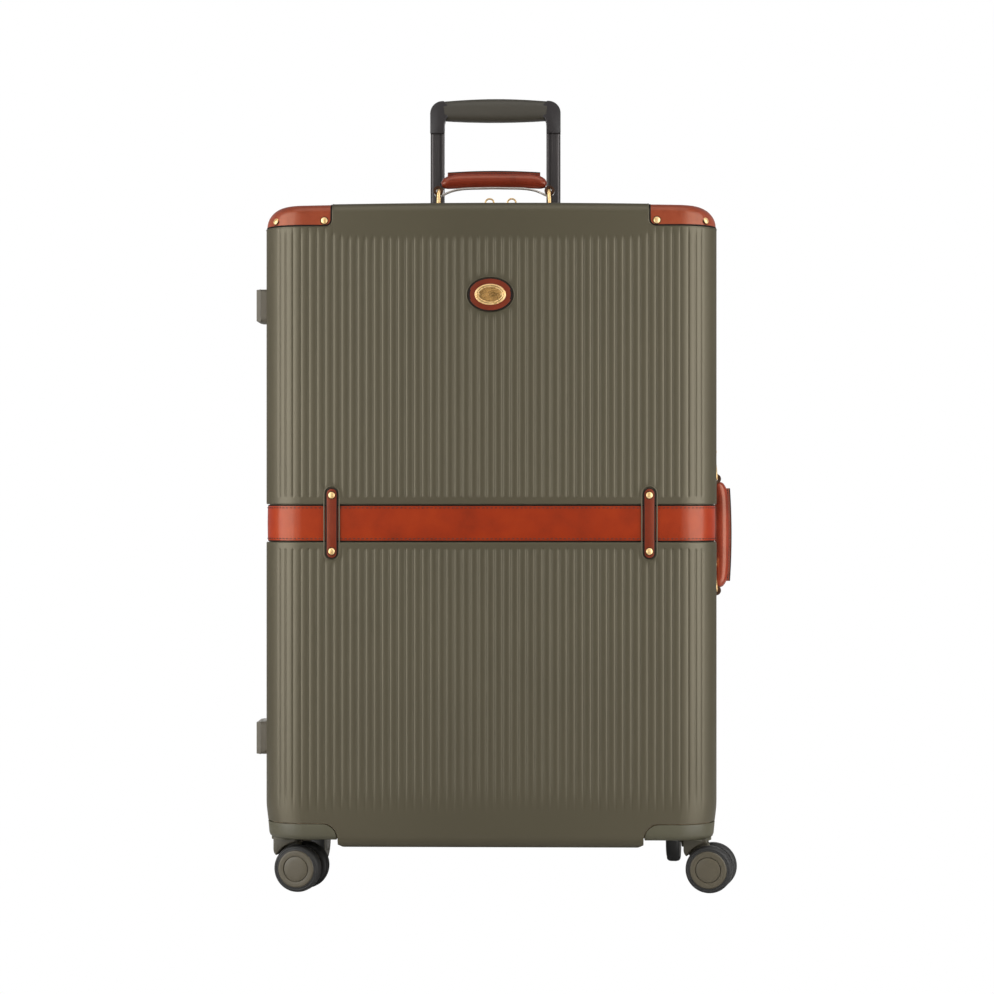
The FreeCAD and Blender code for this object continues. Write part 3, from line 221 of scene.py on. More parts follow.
def copy_of(piece, name, mirror=""):
    """A copy with its own mesh, mirrored along an axis if one is given."""
    twin = piece.copy()
    twin.data = piece.data.copy()
    twin.name = name
    bpy.context.collection.objects.link(twin)
    if mirror:
        with editing(twin):
            scale = [-1 if axis == mirror else 1 for axis in "XYZ"]
            bpy.ops.transform.resize(value=scale, center_override=(0, 0, 0))
            bpy.ops.mesh.flip_normals()
    return twin


def block(name, low, high, radius=0.0, segments=4):
    """A cube primitive between two corners, with all its edges rounded."""
    low = np.array(low)
    high = np.array(high)
    bpy.ops.object.select_all(action="DESELECT")
    bpy.ops.mesh.primitive_cube_add(size=1)
    piece = bpy.context.object
    piece.name = name
    with editing(piece):
        bpy.ops.transform.resize(value=tuple(high - low), center_override=(0, 0, 0))
        bpy.ops.transform.translate(value=tuple((low + high) / 2))
        if radius:
            bpy.ops.mesh.bevel(offset=radius, segments=segments, affect="EDGES")
    return piece


def bevel_where(piece, test, offset, segments=3):
    """Bevel the edges whose two ends both pass a test."""
    spots = piece.data.vertices
    with editing(piece, "DESELECT", "EDGE", lambda edge: all(test(spots[i].co) for i in edge.vertices)):
        bpy.ops.mesh.bevel(offset=offset, segments=segments, affect="EDGES", clamp_overlap=False)


def bent_line(name, lines, **settings):
    """Closed lines of points as a bevelled curve, turned into a mesh."""
    curve = bpy.data.curves.new(name, "CURVE")
    for setting, value in settings.items():
        setattr(curve, setting, value)
    for line in lines:
        spline = curve.splines.new("POLY")
        spline.points.add(len(line) - 1)
        for spot, point in zip(spline.points, line):
            spot.co = (*point, 1)
        spline.use_cyclic_u = True
    piece = bpy.data.objects.new(name, curve)
    bpy.context.collection.objects.link(piece)
    only(piece)
    bpy.ops.object.convert(target="MESH")
    return piece


def rod(name, points, radius, sides=3):
    """A round rod drawn along a closed line of points."""
    piece = bent_line(name, [points], dimensions="3D", bevel_depth=radius, bevel_resolution=sides)
    bpy.ops.object.shade_smooth()
    return piece


def smooth(piece, angle=40):
    """Smooth shading with sharp edges past an angle."""
    only(piece)
    bpy.ops.object.shade_smooth_by_angle(angle=math.radians(angle))


def groove(along, z, badge):
    """Depth of the ribbed panel's grooves at a place on the wall, with room for the badge or not."""
    line = (np.floor(along / groove_pitch) + 0.5) * groove_pitch
    upper_end = np.clip(belt_middle + 0.0312 - z, 0, None)
    lower_end = np.clip(z - belt_middle + 0.0300, 0, None)
    away = np.hypot(along - line, np.where(z > belt_middle, upper_end, lower_end))
    depth = groove_depth * 0.5 * (1 + np.cos(math.pi * np.clip(away / groove_half, 0, 1)))
    fade = 0.7460 + 0.0075 * ease(np.abs(along), 0.165, 0.190)
    depth *= 1 - ease(z, fade, fade + 0.0055)
    depth *= ease(z, 0.090, 0.127)
    depth *= np.abs(line) < last_groove + 0.001
    to_keeper = np.hypot(np.abs(along) - keeper_x, np.clip(np.abs(z - belt_middle) - 0.0337, 0, None))
    depth *= ease(to_keeper, 0.0105, 0.0130)
    if badge:
        depth *= ease(np.hypot(along / 0.0300, (z - badge_z) / 0.0240), 0.97, 1.07)
    return depth


groove_lines = np.arange(-26.5, 27, 1) * groove_pitch
groove_spots = np.array([-1.0, -0.68, -0.34, 0, 0.34, 0.68, 1.0]) * groove_half
corner_columns = np.concatenate([np.linspace(last_groove + 0.0035, bend_end, 9),
                                 np.linspace(bend_end, outline_end, 6)[1:]])
shell_columns = np.sort(np.concatenate([
    (groove_lines[:, None] + groove_spots).ravel(), corner_columns, -corner_columns,
]))
lower_heights = [68, 74, 80, 84, 87, 90, 93, 96, 99, 105, 112, 120, 130, 200, 280, 340, 370, 374, 377, 379.5,
                 382, 384.5, 387, 389.5, 391.2, 392.3, 393.2, 394.0, 394.8, 395.6, 397, 398.6]
channel_steps = [(400.2, 0), (401.0, 0.1), (401.5, 0.4), (401.8, 1.0), (401.9, 3.8), (423.5, 3.8),
                 (445.1, 3.8), (445.2, 1.0), (445.5, 0.4), (446.0, 0.1), (446.8, 0)]
upper_heights = [449, 450.6, 451.8, 452.6, 453.4, 454.2, 455.1, 456.5, 459, 462, 464.5, 467, 469.5, 472,
                 475, 520, 580, 640, 652, *range(655, 715, 3), 716, 725, 738, 744, 746.5, 749, 751.5,
                 754, 756.5]
shell_rows = rows_of("base", (1, 0.7, 0.35))
shell_rows += rows_of("sole", [right_angle * share for share in (1, 0.75, 0.5, 0.25)])
shell_rows += rows_of("foot", [0])
shell_rows += rows_of("wall", [z / 1000 for z in lower_heights])
shell_rows += [("wall", z / 1000, -sink / 1000) for z, sink in channel_steps]
shell_rows += rows_of("wall", [z / 1000 for z in upper_heights])
shell_rows += rows_of("shoulder", (0.5, 1))
shell_rows += rows_of("crown", [right_angle * share / 6 for share in range(1, 7)])
shell_rows += rows_of("top", (0.3, 0.65, 1))


def case_core(name, lift):
    """The front half as a closed smooth solid, a little inside or outside its real face."""
    rows = rows_of("base", (1, 0.5), lift)
    rows += rows_of("sole", [right_angle * share / 6 for share in range(6, -1, -1)], lift)
    rows += rows_of("wall", (0.080, 0.250, 0.420, 0.600, 0.740), lift)
    rows += rows_of("shoulder", (0, 0.5, 1), lift)
    rows += rows_of("crown", [right_angle * share / 10 for share in range(1, 11)], lift)
    rows += rows_of("top", (0.3, 0.65, 1), lift)
    core = moulded_sheet(name, case_points(columns_round(6, 17, 25), rows))
    with editing(core, "DESELECT"):
        bpy.ops.mesh.select_non_manifold()
        bpy.ops.mesh.edge_face_add()
    return core


guard_inner = 0.1815
guard_back = -0.031
guard_low = 0.763
guard_round = 0.007
seat_gap = 0.0010
seat_floor = -0.0029


def guard_block(name, grow):
    """The block that bounds the right front corner guard, rounded at its three inner edges."""
    low = (guard_inner - grow, -0.20, guard_low - grow)
    high = (0.32, guard_back + grow, 0.85)
    return block(name, low, high, guard_round + grow, 8)


def on_profile(along, z, lift):
    """The point of the front half's face on one column at one height."""
    x, y, nx, ny = (float(value) for value in plan_outline(np.float64(along)))
    crown = rim_radius + (crown_radius - rim_radius) * nx**2
    rise = (z - (top_height(x) - crown)) / crown
    lean = math.asin(min(max(rise, 0), 1))
    out = lift * math.cos(lean) - crown * (1 - math.cos(lean))
    return (x + nx * out, y + ny * out, z + lift * math.sin(lean))


def guard_line(grow, lift):
    """The closed line round the right front guard's edge, on the shell's form."""
    inner = guard_inner - grow
    low = guard_low - grow
    back = guard_back + grow
    radius = guard_round + grow
    side_along = outline_end - (parting - back)
    quarter = np.linspace(0, right_angle, 7)
    line = [(inner, y, top_height(inner) + lift) for y in np.linspace(back - radius, front_face + 0.013, 12)]
    rim_top = top_height(inner) - rim_radius
    for lean in quarter[::-1]:
        out = lift * math.cos(lean) - rim_radius * (1 - math.cos(lean))
        line.append((inner, front_face - out, rim_top + (rim_radius + lift) * math.sin(lean)))
    spots = [(inner + radius * (1 - math.cos(turn)), low + radius * (1 - math.sin(turn))) for turn in quarter]
    spots += [(along, low) for along in np.linspace(inner + radius, side_along - radius, 60)[1:]]
    spots += [(side_along - radius * (1 - math.sin(turn)), low + radius * (1 - math.cos(turn)))
              for turn in quarter[1:]]
    edge_top = top_height(half_width) - crown_radius * 0.005
    spots += [(side_along, z) for z in np.linspace(low + radius, edge_top, 12)[1:]]
    line += [on_profile(along, z, lift) for along, z in spots]
    for x in np.linspace(half_width - crown_radius, inner + radius, 8):
        line.append((x, back, top_height(x) + lift))
    for turn in quarter[1:-1]:
        x = inner + radius * (1 - math.sin(turn))
        line.append((x, back - radius * (1 - math.cos(turn)), top_height(x) + lift))
    return line


def stadium_line(x, half, y):
    """The closed line of an upright strap with round ends on the front face."""
    line = []
    for start, end in ((0, keeper_reach - keeper_half), (math.pi, keeper_half - keeper_reach)):
        line += [(x + half * math.cos(turn), y, belt_middle + end + half * math.sin(turn))
                 for turn in np.linspace(start, start + math.pi, 13)]
    return line


def pill(name, x, grow, y_low, y_high):
    """An upright strap with round ends, as a solid."""
    bpy.ops.object.select_all(action="DESELECT")
    bpy.ops.mesh.primitive_cylinder_add(vertices=32, radius=keeper_half + grow, depth=y_high - y_low,
                                        location=(x, (y_low + y_high) / 2, belt_middle),
                                        rotation=(right_angle, 0, 0))
    piece = bpy.context.object
    piece.name = name
    bpy.ops.object.transform_apply(location=True, rotation=True, scale=True)
    for spot in piece.data.vertices:
        spot.co.z += math.copysign(keeper_reach - keeper_half, spot.co.z - belt_middle)
    return piece


def oval(name, half_wide, half_high, y_front, y_back):
    """An upright oval disc on the front of the case, at the height of the badge."""
    bpy.ops.object.select_all(action="DESELECT")
    bpy.ops.mesh.primitive_cylinder_add(vertices=96, radius=1, depth=y_back - y_front,
                                        rotation=(right_angle, 0, 0))
    piece = bpy.context.object
    piece.name = name
    bpy.ops.object.transform_apply(rotation=True)
    with editing(piece):
        bpy.ops.transform.resize(value=(half_wide, 1, half_high), center_override=(0, 0, 0))
        bpy.ops.transform.translate(value=(0, (y_front + y_back) / 2, badge_z))
    return piece


housing_inner = 0.175
housing_back = -0.060
housing_top = 0.081
housing_curve = 0.017


def housing_block(name, grow):
    """The block that bounds the right front caster housing, its upper inner edge a wide curve."""
    inner = housing_inner - grow
    top = housing_top + grow
    piece = block(name, (inner, -0.20, 0.0), (0.32, housing_back + grow, top))
    bevel_where(piece, lambda spot: abs(spot.x - inner) < 1e-5 and abs(spot.z - top) < 1e-5,
                housing_curve + grow, 10)
    return piece


shell = moulded_sheet("front_shell_skin", case_points(shell_columns, shell_rows))
outer_count = len(shell.data.vertices)
apply_modifier(shell, "SOLIDIFY", thickness=shell_wall, offset=-1)


def press_grooves(piece, badge):
    """Press the ribbed panel into the outer face of a half shell."""
    places = np.array([spot.co for spot in piece.data.vertices])
    row_of = np.arange(outer_count) // len(shell_columns)
    on_wall = np.array([row[0] == "wall" for row in shell_rows])[row_of]
    column_of = shell_columns[np.arange(outer_count) % len(shell_columns)]
    depths = np.where(on_wall, groove(column_of, places[:outer_count, 2], badge), 0)
    sink_x, sink_y = plan_outline(column_of)[2:]
    places[:outer_count, 0] -= sink_x * depths
    places[:outer_count, 1] -= sink_y * depths
    piece.data.vertices.foreach_set("co", places.ravel())
    piece.data.update()


plain_form = copy_of(shell, "plain_form")
press_grooves(shell, True)
press_grooves(plain_form, False)
rear_skin = copy_of(plain_form, "rear_shell_skin", "Y")
bpy.data.objects.remove(plain_form)

seat = guard_block("seat", seat_gap)
cut_with(seat, case_core("seat_core", seat_floor))
notch = housing_block("notch", 0.0006)
bpy.ops.object.select_all(action="DESELECT")
bpy.ops.mesh.primitive_cube_add(size=1, location=(0.1762, -0.1295, case_bottom - 0.0067),
                                rotation=(0, math.radians(-30), 0), scale=(0.02, 0.139, 0.02))
wedge = bpy.context.object
bpy.ops.object.transform_apply(location=True, rotation=True, scale=True)
cut_with(notch, wedge, "UNION")
pocket_gap = 0.0012
pockets = [pill("pocket", x, pocket_gap, front_face - 0.01, front_face + 0.0016)
           for x in (keeper_x, -keeper_x)]
seats = join([seat, notch, pockets[0], copy_of(seat, "seat_left", "X"), copy_of(notch, "notch_left", "X"),
              pockets[1]], "seats")
rear_seats = copy_of(seats, "rear_seats", "Y")
badge_pocket = oval("badge_pocket", 0.0263, 0.0198, front_face - 0.0190, front_face + 0.0010)
cut_with(shell, join([seats, badge_pocket], "front_seats"))


def top_hole(node, inset, radius, segments):
    """A cutter through the top for a piece that is let into it, smaller by an inset."""
    low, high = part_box(node)
    return block(node + "_hole", (low[0] + inset, low[1] + inset, 0.75),
                 (high[0] - inset, high[1] - inset, 0.83), radius, segments)


top_holes = [top_hole("trolley_cup", 0.0015, 0.006, 6), top_hole("lock_body", 0.002, 0.003, 4)]
cut_with(rear_skin, join([rear_seats] + top_holes, "rear_seats"))

lip_radius = 0.0008
lip_y = front_face + 0.0004
guard_lip = rod("guard_lip", guard_line(seat_gap + 0.0006, -0.0004), lip_radius)
lips = [guard_lip, copy_of(guard_lip, "guard_lip_left", "X")]
for x in (keeper_x, -keeper_x):
    lips.append(rod("keeper_lip", stadium_line(x, keeper_half + pocket_gap + 0.0006, lip_y), lip_radius))
lips = join(lips, "front_lips")
rear_lips = copy_of(lips, "rear_lips", "Y")
badge_line = [(0.0269 * math.cos(turn), lip_y, badge_z + 0.0204 * math.sin(turn))
              for turn in np.linspace(0, 2 * math.pi, 73)[:-1]]
front_skin = join([shell, lips, rod("badge_lip", badge_line, lip_radius)], "front_shell_skin")
rear_skin = join([rear_skin, rear_lips], "rear_shell_skin")


def tint(red, green, blue):
    """A colour given as it looks on a screen, from 0 to 255."""
    values = [value / 255 for value in (red, green, blue)]
    return (*[v / 12.92 if v <= 0.04045 else ((v + 0.055) / 1.055) ** 2.4 for v in values], 1)


class Finish:
    """A node material that is built up from textures on object coordinates."""

    def __init__(self, name, roughness, metallic=0.0):
        self.material = bpy.data.materials.new(name)
        self.material.use_nodes = True
        self.tree = self.material.node_tree
        self.shader = self.tree.nodes["Principled BSDF"]
        self.coords = self.tree.nodes.new("ShaderNodeTexCoord").outputs["Object"]
        self.wear(Roughness=roughness, Metallic=metallic)

    def feed(self, socket, value):
        """Link a socket, or set its value."""
        if isinstance(value, bpy.types.NodeSocket):
            self.tree.links.new(value, socket)
        else:
            socket.default_value = value

    def node(self, kind, inputs, **settings):
        """Add a node, with its settings and its input values or links."""
        node = self.tree.nodes.new("ShaderNode" + kind)
        for setting, value in settings.items():
            setattr(node, setting, value)
        for place, value in inputs.items():
            self.feed(node.inputs[place], value)
        return node

    def noise(self, scale, detail=3.0, roughness=0.5, vector=None):
        """Value of a noise with so many features to the metre."""
        links = {"Vector": vector or self.coords, "Scale": scale, "Detail": detail, "Roughness": roughness}
        return self.node("TexNoise", links).outputs["Fac"]

    def streaks(self, scales):
        """Value of a noise with its own number of features to the metre along each axis."""
        mapping = self.node("Mapping", {"Vector": self.coords, "Scale": scales})
        return self.noise(1.0, 3, 0.6, mapping.outputs[0])

    def cells(self, scale):
        """Distance to the edges of a cell pattern with so many cells to the metre."""
        links = {"Vector": self.coords, "Scale": scale}
        return self.node("TexVoronoi", links, feature="DISTANCE_TO_EDGE").outputs["Distance"]

    def wave(self, scale, direction, distortion=0.0):
        """Value of straight bands across one axis."""
        links = {"Vector": self.coords, "Scale": scale, "Distortion": distortion}
        return self.node("TexWave", links, bands_direction=direction).outputs["Fac"]

    def ramp(self, value, *stops):
        """Colours along a value."""
        node = self.node("ValToRGB", {"Fac": value})
        elements = node.color_ramp.elements
        while len(elements) < len(stops):
            elements.new(0.5)
        for element, (place, colour) in zip(elements, stops):
            element.position = place
            element.color = colour
        return node.outputs["Color"]

    def two_tone(self, value, dark, light):
        """A dark and a light colour along the middle range of a value."""
        return self.ramp(value, (0.3, dark), (0.7, light))

    def spread(self, value, to_low, to_high, low=0.3, high=0.7):
        """Map a value from one range to another."""
        links = {0: value, 1: low, 2: high, 3: to_low, 4: to_high}
        return self.node("MapRange", links).outputs[0]

    def maths(self, operation, first, second):
        """One sum of two values."""
        return self.node("Math", {0: first, 1: second}, operation=operation).outputs[0]

    def weigh(self, first, share, second, rest):
        """Two values added, each times its share."""
        return self.maths("ADD", self.maths("MULTIPLY", first, share), self.maths("MULTIPLY", second, rest))

    def mix(self, share, first, second):
        """Mix two colours."""
        links = {0: share, 6: first, 7: second}
        return self.node("Mix", links, data_type="RGBA").outputs[2]

    def bump(self, height, depth, strength):
        """Relief of so many metres from a height between 0 and 1."""
        links = {"Height": height, "Strength": strength, "Distance": depth}
        return self.node("Bump", links).outputs["Normal"]

    def wear(self, **inputs):
        """Link or set the shader's inputs."""
        for place, value in inputs.items():
            self.feed(self.shader.inputs[place.replace("_", " ")], value)


def paint(piece, *finishes):
    """Give a piece its finishes in place of any it has."""
    piece.data.materials.clear()
    for finish in finishes:
        piece.data.materials.append(finish.material)


def paint_nodes(finish, *names):
    """Give CAD nodes that keep their shape a finish."""
    for name in names:
        paint(frame["nodes"][name], finish)


def attach(piece, body, slot, *nodes):
    """Say which body a piece rides on, and hide the CAD nodes that it stands for. The slot is not used."""
    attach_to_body(piece, body)
    if nodes:
        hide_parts(*nodes)


def moulded_plastic(name, dark, light, roughness, grain=1100):
    """Moulded plastic with a fine even grain and a faint drift of colour."""
    finish = Finish(name, roughness)
    drift = finish.noise(7, 2)
    fine = finish.noise(grain, 2, 0.6)
    finish.wear(Base_Color=finish.two_tone(finish.weigh(drift, 0.6, fine, 0.4), dark, light),
                Roughness=finish.spread(fine, roughness - 0.06, roughness + 0.06),
                Normal=finish.bump(fine, 0.00004, 0.7))
    return finish


shell_finish = moulded_plastic("shell_plastic_grain", tint(51, 46, 31), tint(57, 52, 36), 0.48)
shell_finish.wear(Specular_IOR_Level=0.95, Specular_Tint=(1.0, 0.91, 0.71, 1))
for half, skin in (("front", front_skin), ("rear", rear_skin)):
    smooth(skin)
    paint(skin, shell_finish)
    attach(skin, half + "_case", "shell_plastic", half + "_shell")

# Linings
# Each half is lined with striped taupe cloth glued to a thin foam, with a hem below the zip.
# Boxes of the same cloth cover the caster housings, the pull handle's tunnel and the lock.
lining_lift = -0.0044
channel_band = [(0.398, 0), (0.4005, 0.0012), (0.402, 0.0038), (0.4235, 0.0038), (0.445, 0.0038),
                (0.4465, 0.0012), (0.449, 0)]
lining_rows = rows_of("base", (0.985, 0.7, 0.35), lining_lift)
lining_rows += rows_of("sole", [right_angle * share / 5 for share in range(5, -1, -1)], lining_lift)
lining_rows += rows_of("wall", np.linspace(0.075, 0.390, 26), lining_lift)
lining_rows += [("wall", z, lining_lift - sink) for z, sink in channel_band]
lining_rows += rows_of("wall", np.linspace(0.458, 0.750, 26), lining_lift)
lining_rows += rows_of("shoulder", [1], lining_lift)
lining_rows += rows_of("crown", [right_angle * share / 8 for share in range(1, 9)], lining_lift)
lining_rows += rows_of("top", (0.3, 0.65, 0.985), lining_lift)
cloth_points = case_points(columns_round(10, 13, 61, 0.002), lining_rows)
ripple = np.sin(cloth_points[:, :, 0] * 131) * np.sin(cloth_points[:, :, 2] * 97 + 1.3)
cloth_points[:, :, 1] += 0.0004 * ripple
front_cloth = moulded_sheet("front_lining_cloth", cloth_points)
with editing(front_cloth):
    bpy.ops.mesh.flip_normals()
apply_modifier(front_cloth, "SOLIDIFY", thickness=0.0009, offset=-1)
for low, high in ((-0.3000, -0.1742), (0.1742, 0.3000)):
    cut_with(front_cloth, block("cloth_notch", (low, -0.2000, 0.0), (high, -0.0592, 0.0700)))
rear_cloth = copy_of(front_cloth, "rear_lining_cloth", "Y")
corner_cover = case_core("corner_cover", -0.0042)
cover_bounds = block("cover_bounds", (0.1690, -0.2000, 0.0500), (0.3000, -0.0560, 0.0862), 0.006, 4)
cut_with(corner_cover, cover_bounds, "INTERSECT")
cut_with(corner_cover, block("cover_hollow", (0.1730, -0.2000, 0.0), (0.3200, -0.0600, 0.0650)))
covers = [corner_cover, copy_of(corner_cover, "corner_cover_left", "X")]
rear_covers = [copy_of(cover, cover.name + "_rear", "Y") for cover in covers]
front_cloth = join([front_cloth] + covers, "front_lining_cloth")
tunnel = block("tunnel_cover", (-0.0925, 0.1008, 0.0572), (0.0925, 0.1502, 0.7858), 0.010, 5)
cut_with(tunnel, block("tunnel_room", (-0.0905, 0.1022, 0.0600), (0.0905, 0.1600, 0.8000)))
lock_room = ((-0.0275, 0.0000, 0.7750), (0.0455, 0.0315, 0.8000))
lock_cover = block("lock_cover", (-0.0290, 0.0085, 0.7725), (0.0470, 0.0325, 0.7862), 0.005, 4)
cut_with(lock_cover, block("lock_room", *lock_room))
cut_with(rear_cloth, block("cup_mouth", (-0.0878, 0.1022, 0.7407), (0.0878, 0.1418, 0.8000)))
cut_with(rear_cloth, block("lock_mouth", *lock_room))
rear_cloth = join([rear_cloth, tunnel, lock_cover] + rear_covers, "rear_lining_cloth")
lining_finish = Finish("lining_weave", 0.85)
weave = lining_finish.maths("MULTIPLY", lining_finish.wave(190.0, "X", 0.4),
                            lining_finish.wave(190.0, "Z", 0.4))
stripe = lining_finish.spread(lining_finish.wave(11.0, "X"), 0, 1, 0.86, 0.92)
ground = lining_finish.ramp(weave, (0.0, tint(140, 122, 99)), (1.0, tint(184, 165, 140)))
banded = lining_finish.mix(lining_finish.maths("MULTIPLY", stripe, 0.35), ground, tint(122, 96, 71))
lining_finish.wear(Base_Color=banded, Normal=lining_finish.bump(weave, 0.00025, 0.6), Sheen_Weight=0.25)
for half, cloth in (("front", front_cloth), ("rear", rear_cloth)):
    smooth(cloth, 45)
    paint(cloth, lining_finish)
    attach(cloth, half + "_case", "lining_cloth", half + "_lining")

# Zip
# Two woven tapes are bonded inside the shells' edges, and carry a coarse chain of brown moulded teeth.
# The chain runs round three sides and the corners; on the hinge side the tapes alone close the gap.
tape_inset = 0.0030
tooth_inset = 0.0028


def edge_loop(inset, count):
    """Places and outward directions round the case's outline in the plane of the parting."""
    wide = half_width - inset
    high = case_top - inset
    low = case_bottom + inset
    crown = crown_radius - inset
    sole = sole_radius - inset
    bend_z = high - crown - top_bow
    middle = (wide, (high + low) / 2)
    spots = [middle]
    bends = [(wide - crown, bend_z, crown), (crown - wide, bend_z, crown),
             (sole - wide, low + sole, sole), (wide - sole, low + sole, sole)]
    for quarter, (bend_x, z, radius) in enumerate(bends):
        for turn in np.linspace(0, right_angle, 13):
            angle = quarter * right_angle + turn
            spots.append((bend_x + radius * math.cos(angle), z + radius * math.sin(angle)))
        if quarter == 0:
            spots += [(x, top_height(x) - inset) for x in np.linspace(wide - crown, crown - wide, 41)[1:-1]]
    spots = np.array(spots + [middle])
    far = np.concatenate([[0], np.cumsum(np.hypot(*np.diff(spots, axis=0).T))])
    wanted = np.linspace(0, far[-1], count, endpoint=False)
    loop = np.stack([np.interp(wanted, far, spots[:, k]) for k in (0, 1)], 1)
    run = np.roll(loop, -1, 0) - np.roll(loop, 1, 0)
    return loop, run / np.linalg.norm(run, axis=1)[:, None]


def new_mesh(name, spots, edges, faces):
    """A new object from bare points, edges and faces."""
    mesh = bpy.data.meshes.new(name)
    mesh.from_pydata(spots, edges, faces)
    piece = bpy.data.objects.new(name, mesh)
    bpy.context.collection.objects.link(piece)
    return piece


def weld(piece, fill=False):
    """Weld a piece's doubled points, cap its open ends if asked, and turn its faces outward."""
    with editing(piece):
        bpy.ops.mesh.remove_doubles(threshold=1e-6)
        if fill:
            bpy.ops.mesh.fill_holes(sides=0)
            bpy.ops.mesh.select_all(action="SELECT")
        bpy.ops.mesh.normals_make_consistent(inside=False)


def repeated(name, pattern, places):
    """Copies of a small mesh at many places, each an origin and three axes, as one mesh."""
    spots = np.array([spot.co for spot in pattern.data.vertices])
    sides = [tuple(face.vertices) for face in pattern.data.polygons]
    corners = np.concatenate([np.array(place[0]) + spots @ np.array(place[1:]) for place in places])
    faces = [tuple(i + number * len(spots) for i in side) for number in range(len(places)) for side in sides]
    piece = new_mesh(name, corners.tolist(), [], faces)
    bpy.data.objects.remove(pattern)
    smooth(piece, 50)
    return piece


tape_loop = edge_loop(tape_inset, 360)[0]
tape_loop = np.concatenate([tape_loop, tape_loop[:1]])
tape = moulded_sheet("front_zip_tape", [[(x, y, z) for x, z in tape_loop]
                                        for y in (-0.0140, -0.0100, -0.0060, -0.0030, -0.0001)])
weld(tape)
apply_modifier(tape, "SOLIDIFY", thickness=0.0008, offset=0)
tooth = block("zip_tooth", (-0.0009, -0.0010, -0.0013), (0.0009, 0.0022, 0.0013), 0.0005, 1)
places = []
for (x, z), (run_x, run_z) in zip(*edge_loop(tooth_inset, 820)):
    if x > -half_width + 0.010 or abs(z - belt_middle) > 0.280:
        places.append(((x, -0.0021, z), (run_x, 0, run_z), (0, 1, 0), (run_z, 0, -run_x)))
teeth = repeated("front_zip_teeth", tooth, places)
tape_finish = Finish("zip_tape_weave", 0.8)
tape_fleck = tape_finish.noise(1600, 2)
tape_finish.wear(Base_Color=tape_finish.two_tone(tape_fleck, tint(69, 60, 48), tint(99, 87, 72)),
                 Normal=tape_finish.bump(tape_finish.wave(420.0, "Y"), 0.00015, 0.6))
tooth_finish = moulded_plastic("zip_teeth_nylon", tint(83, 69, 53), tint(108, 92, 71), 0.38, 2000)
paint(teeth, tooth_finish)
for half in ("front", "rear"):
    if half == "rear":
        tape = copy_of(tape, "rear_zip_tape", "Y")
        teeth = copy_of(teeth, "rear_zip_teeth", "Y")
        cut_with(tape, block("tape_notch", (-0.0275, 0.0066, 0.7750), (0.0455, 0.0315, 0.8000)))
    smooth(tape)
    paint(tape, tape_finish)
    attach(tape, half + "_case", "zip_cloth", half + "_zip")
    attach(teeth, half + "_case", "zip_cloth")

# Belts
# A belt of orange-red bridle leather lies in the channel of each half, bonded down, its ends at the zip.
# Both edges are burnished and sewn with a dark waxed thread.
belt_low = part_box("front_belt")[0][2]
belt_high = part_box("front_belt")[1][2]
belt_width = belt_high - belt_low
belt_edge = 0.0013
stitch_rise = 0.0034
belt_section = [(-0.0037, 0.0), (-0.0027, 0.0), (-0.0020, 0.0005), (-0.0017, 0.0013), (-0.0015, 0.0028),
                (-0.0014, 0.0060), (-0.0012, 0.0210)]
belt_section += [(lift, belt_width - rise) for lift, rise in belt_section[-2::-1]]
belt_rows = [("wall", belt_low + rise, lift) for lift, rise in belt_section + belt_section[:1]]
belt = moulded_sheet("front_belt_leather", case_points(columns_round(8, 17, 41, 0.0008), belt_rows))
weld(belt, fill=True)
smooth(belt, 50)


def both_halves(piece, slot, *nodes):
    """Attach a piece of the front half, and then its mirror image on the rear one."""
    for half in ("front", "rear"):
        if half == "rear":
            piece = copy_of(piece, piece.name.replace("front", "rear"), "Y")
        attach(piece, half + "_case", slot, *[f"{half}_{node}" for node in nodes])


def unit(vector):
    """A vector's direction."""
    vector = np.array(vector, float)
    return vector / np.linalg.norm(vector)


def stitch_pattern(length, thick):
    """One stitch: a short fat thread, a little sunk at its ends."""
    bpy.ops.object.select_all(action="DESELECT")
    bpy.ops.mesh.primitive_uv_sphere_add(segments=6, ring_count=5, radius=0.5, rotation=(0, right_angle, 0))
    stitch = bpy.context.object
    stitch.scale = (thick, thick, length)
    bpy.ops.object.transform_apply(location=True, rotation=True, scale=True)
    return stitch


def leather(name, dark, middle, light, roughness=0.40, coat=0.34):
    """Polished hide: cloudy dye, fine pores and a light glaze."""
    finish = Finish(name, roughness)
    cloud = finish.noise(30, 4, 0.6)
    pores = finish.noise(1400, 3, 0.6)
    crease = finish.spread(finish.cells(820), 0.0, 1.0, 0.0, 0.25)
    tone = finish.weigh(cloud, 0.75, pores, 0.25)
    relief = finish.weigh(crease, 0.5, pores, 0.5)
    finish.wear(Base_Color=finish.ramp(tone, (0.30, dark), (0.5, middle), (0.72, light)),
                Roughness=finish.spread(pores, roughness - 0.07, roughness + 0.09),
                Normal=finish.bump(relief, 0.00010, 0.55), Coat_Weight=coat, Coat_Roughness=0.18,
                Specular_IOR_Level=0.7, Specular_Tint=(1.0, 0.52, 0.28, 1))
    return finish


def speckled(name, dark, light, roughness, grain, depth, strength):
    """A dull dark coat with a fine speckle."""
    finish = Finish(name, roughness)
    fleck = finish.noise(grain, 2)
    finish.wear(Base_Color=finish.two_tone(fleck, dark, light), Normal=finish.bump(fleck, depth, strength))
    return finish


def dip_faces(piece, slot, test):
    """Give the faces that pass a test another of the piece's finishes."""
    for face in piece.data.polygons:
        if test(face):
            face.material_index = slot


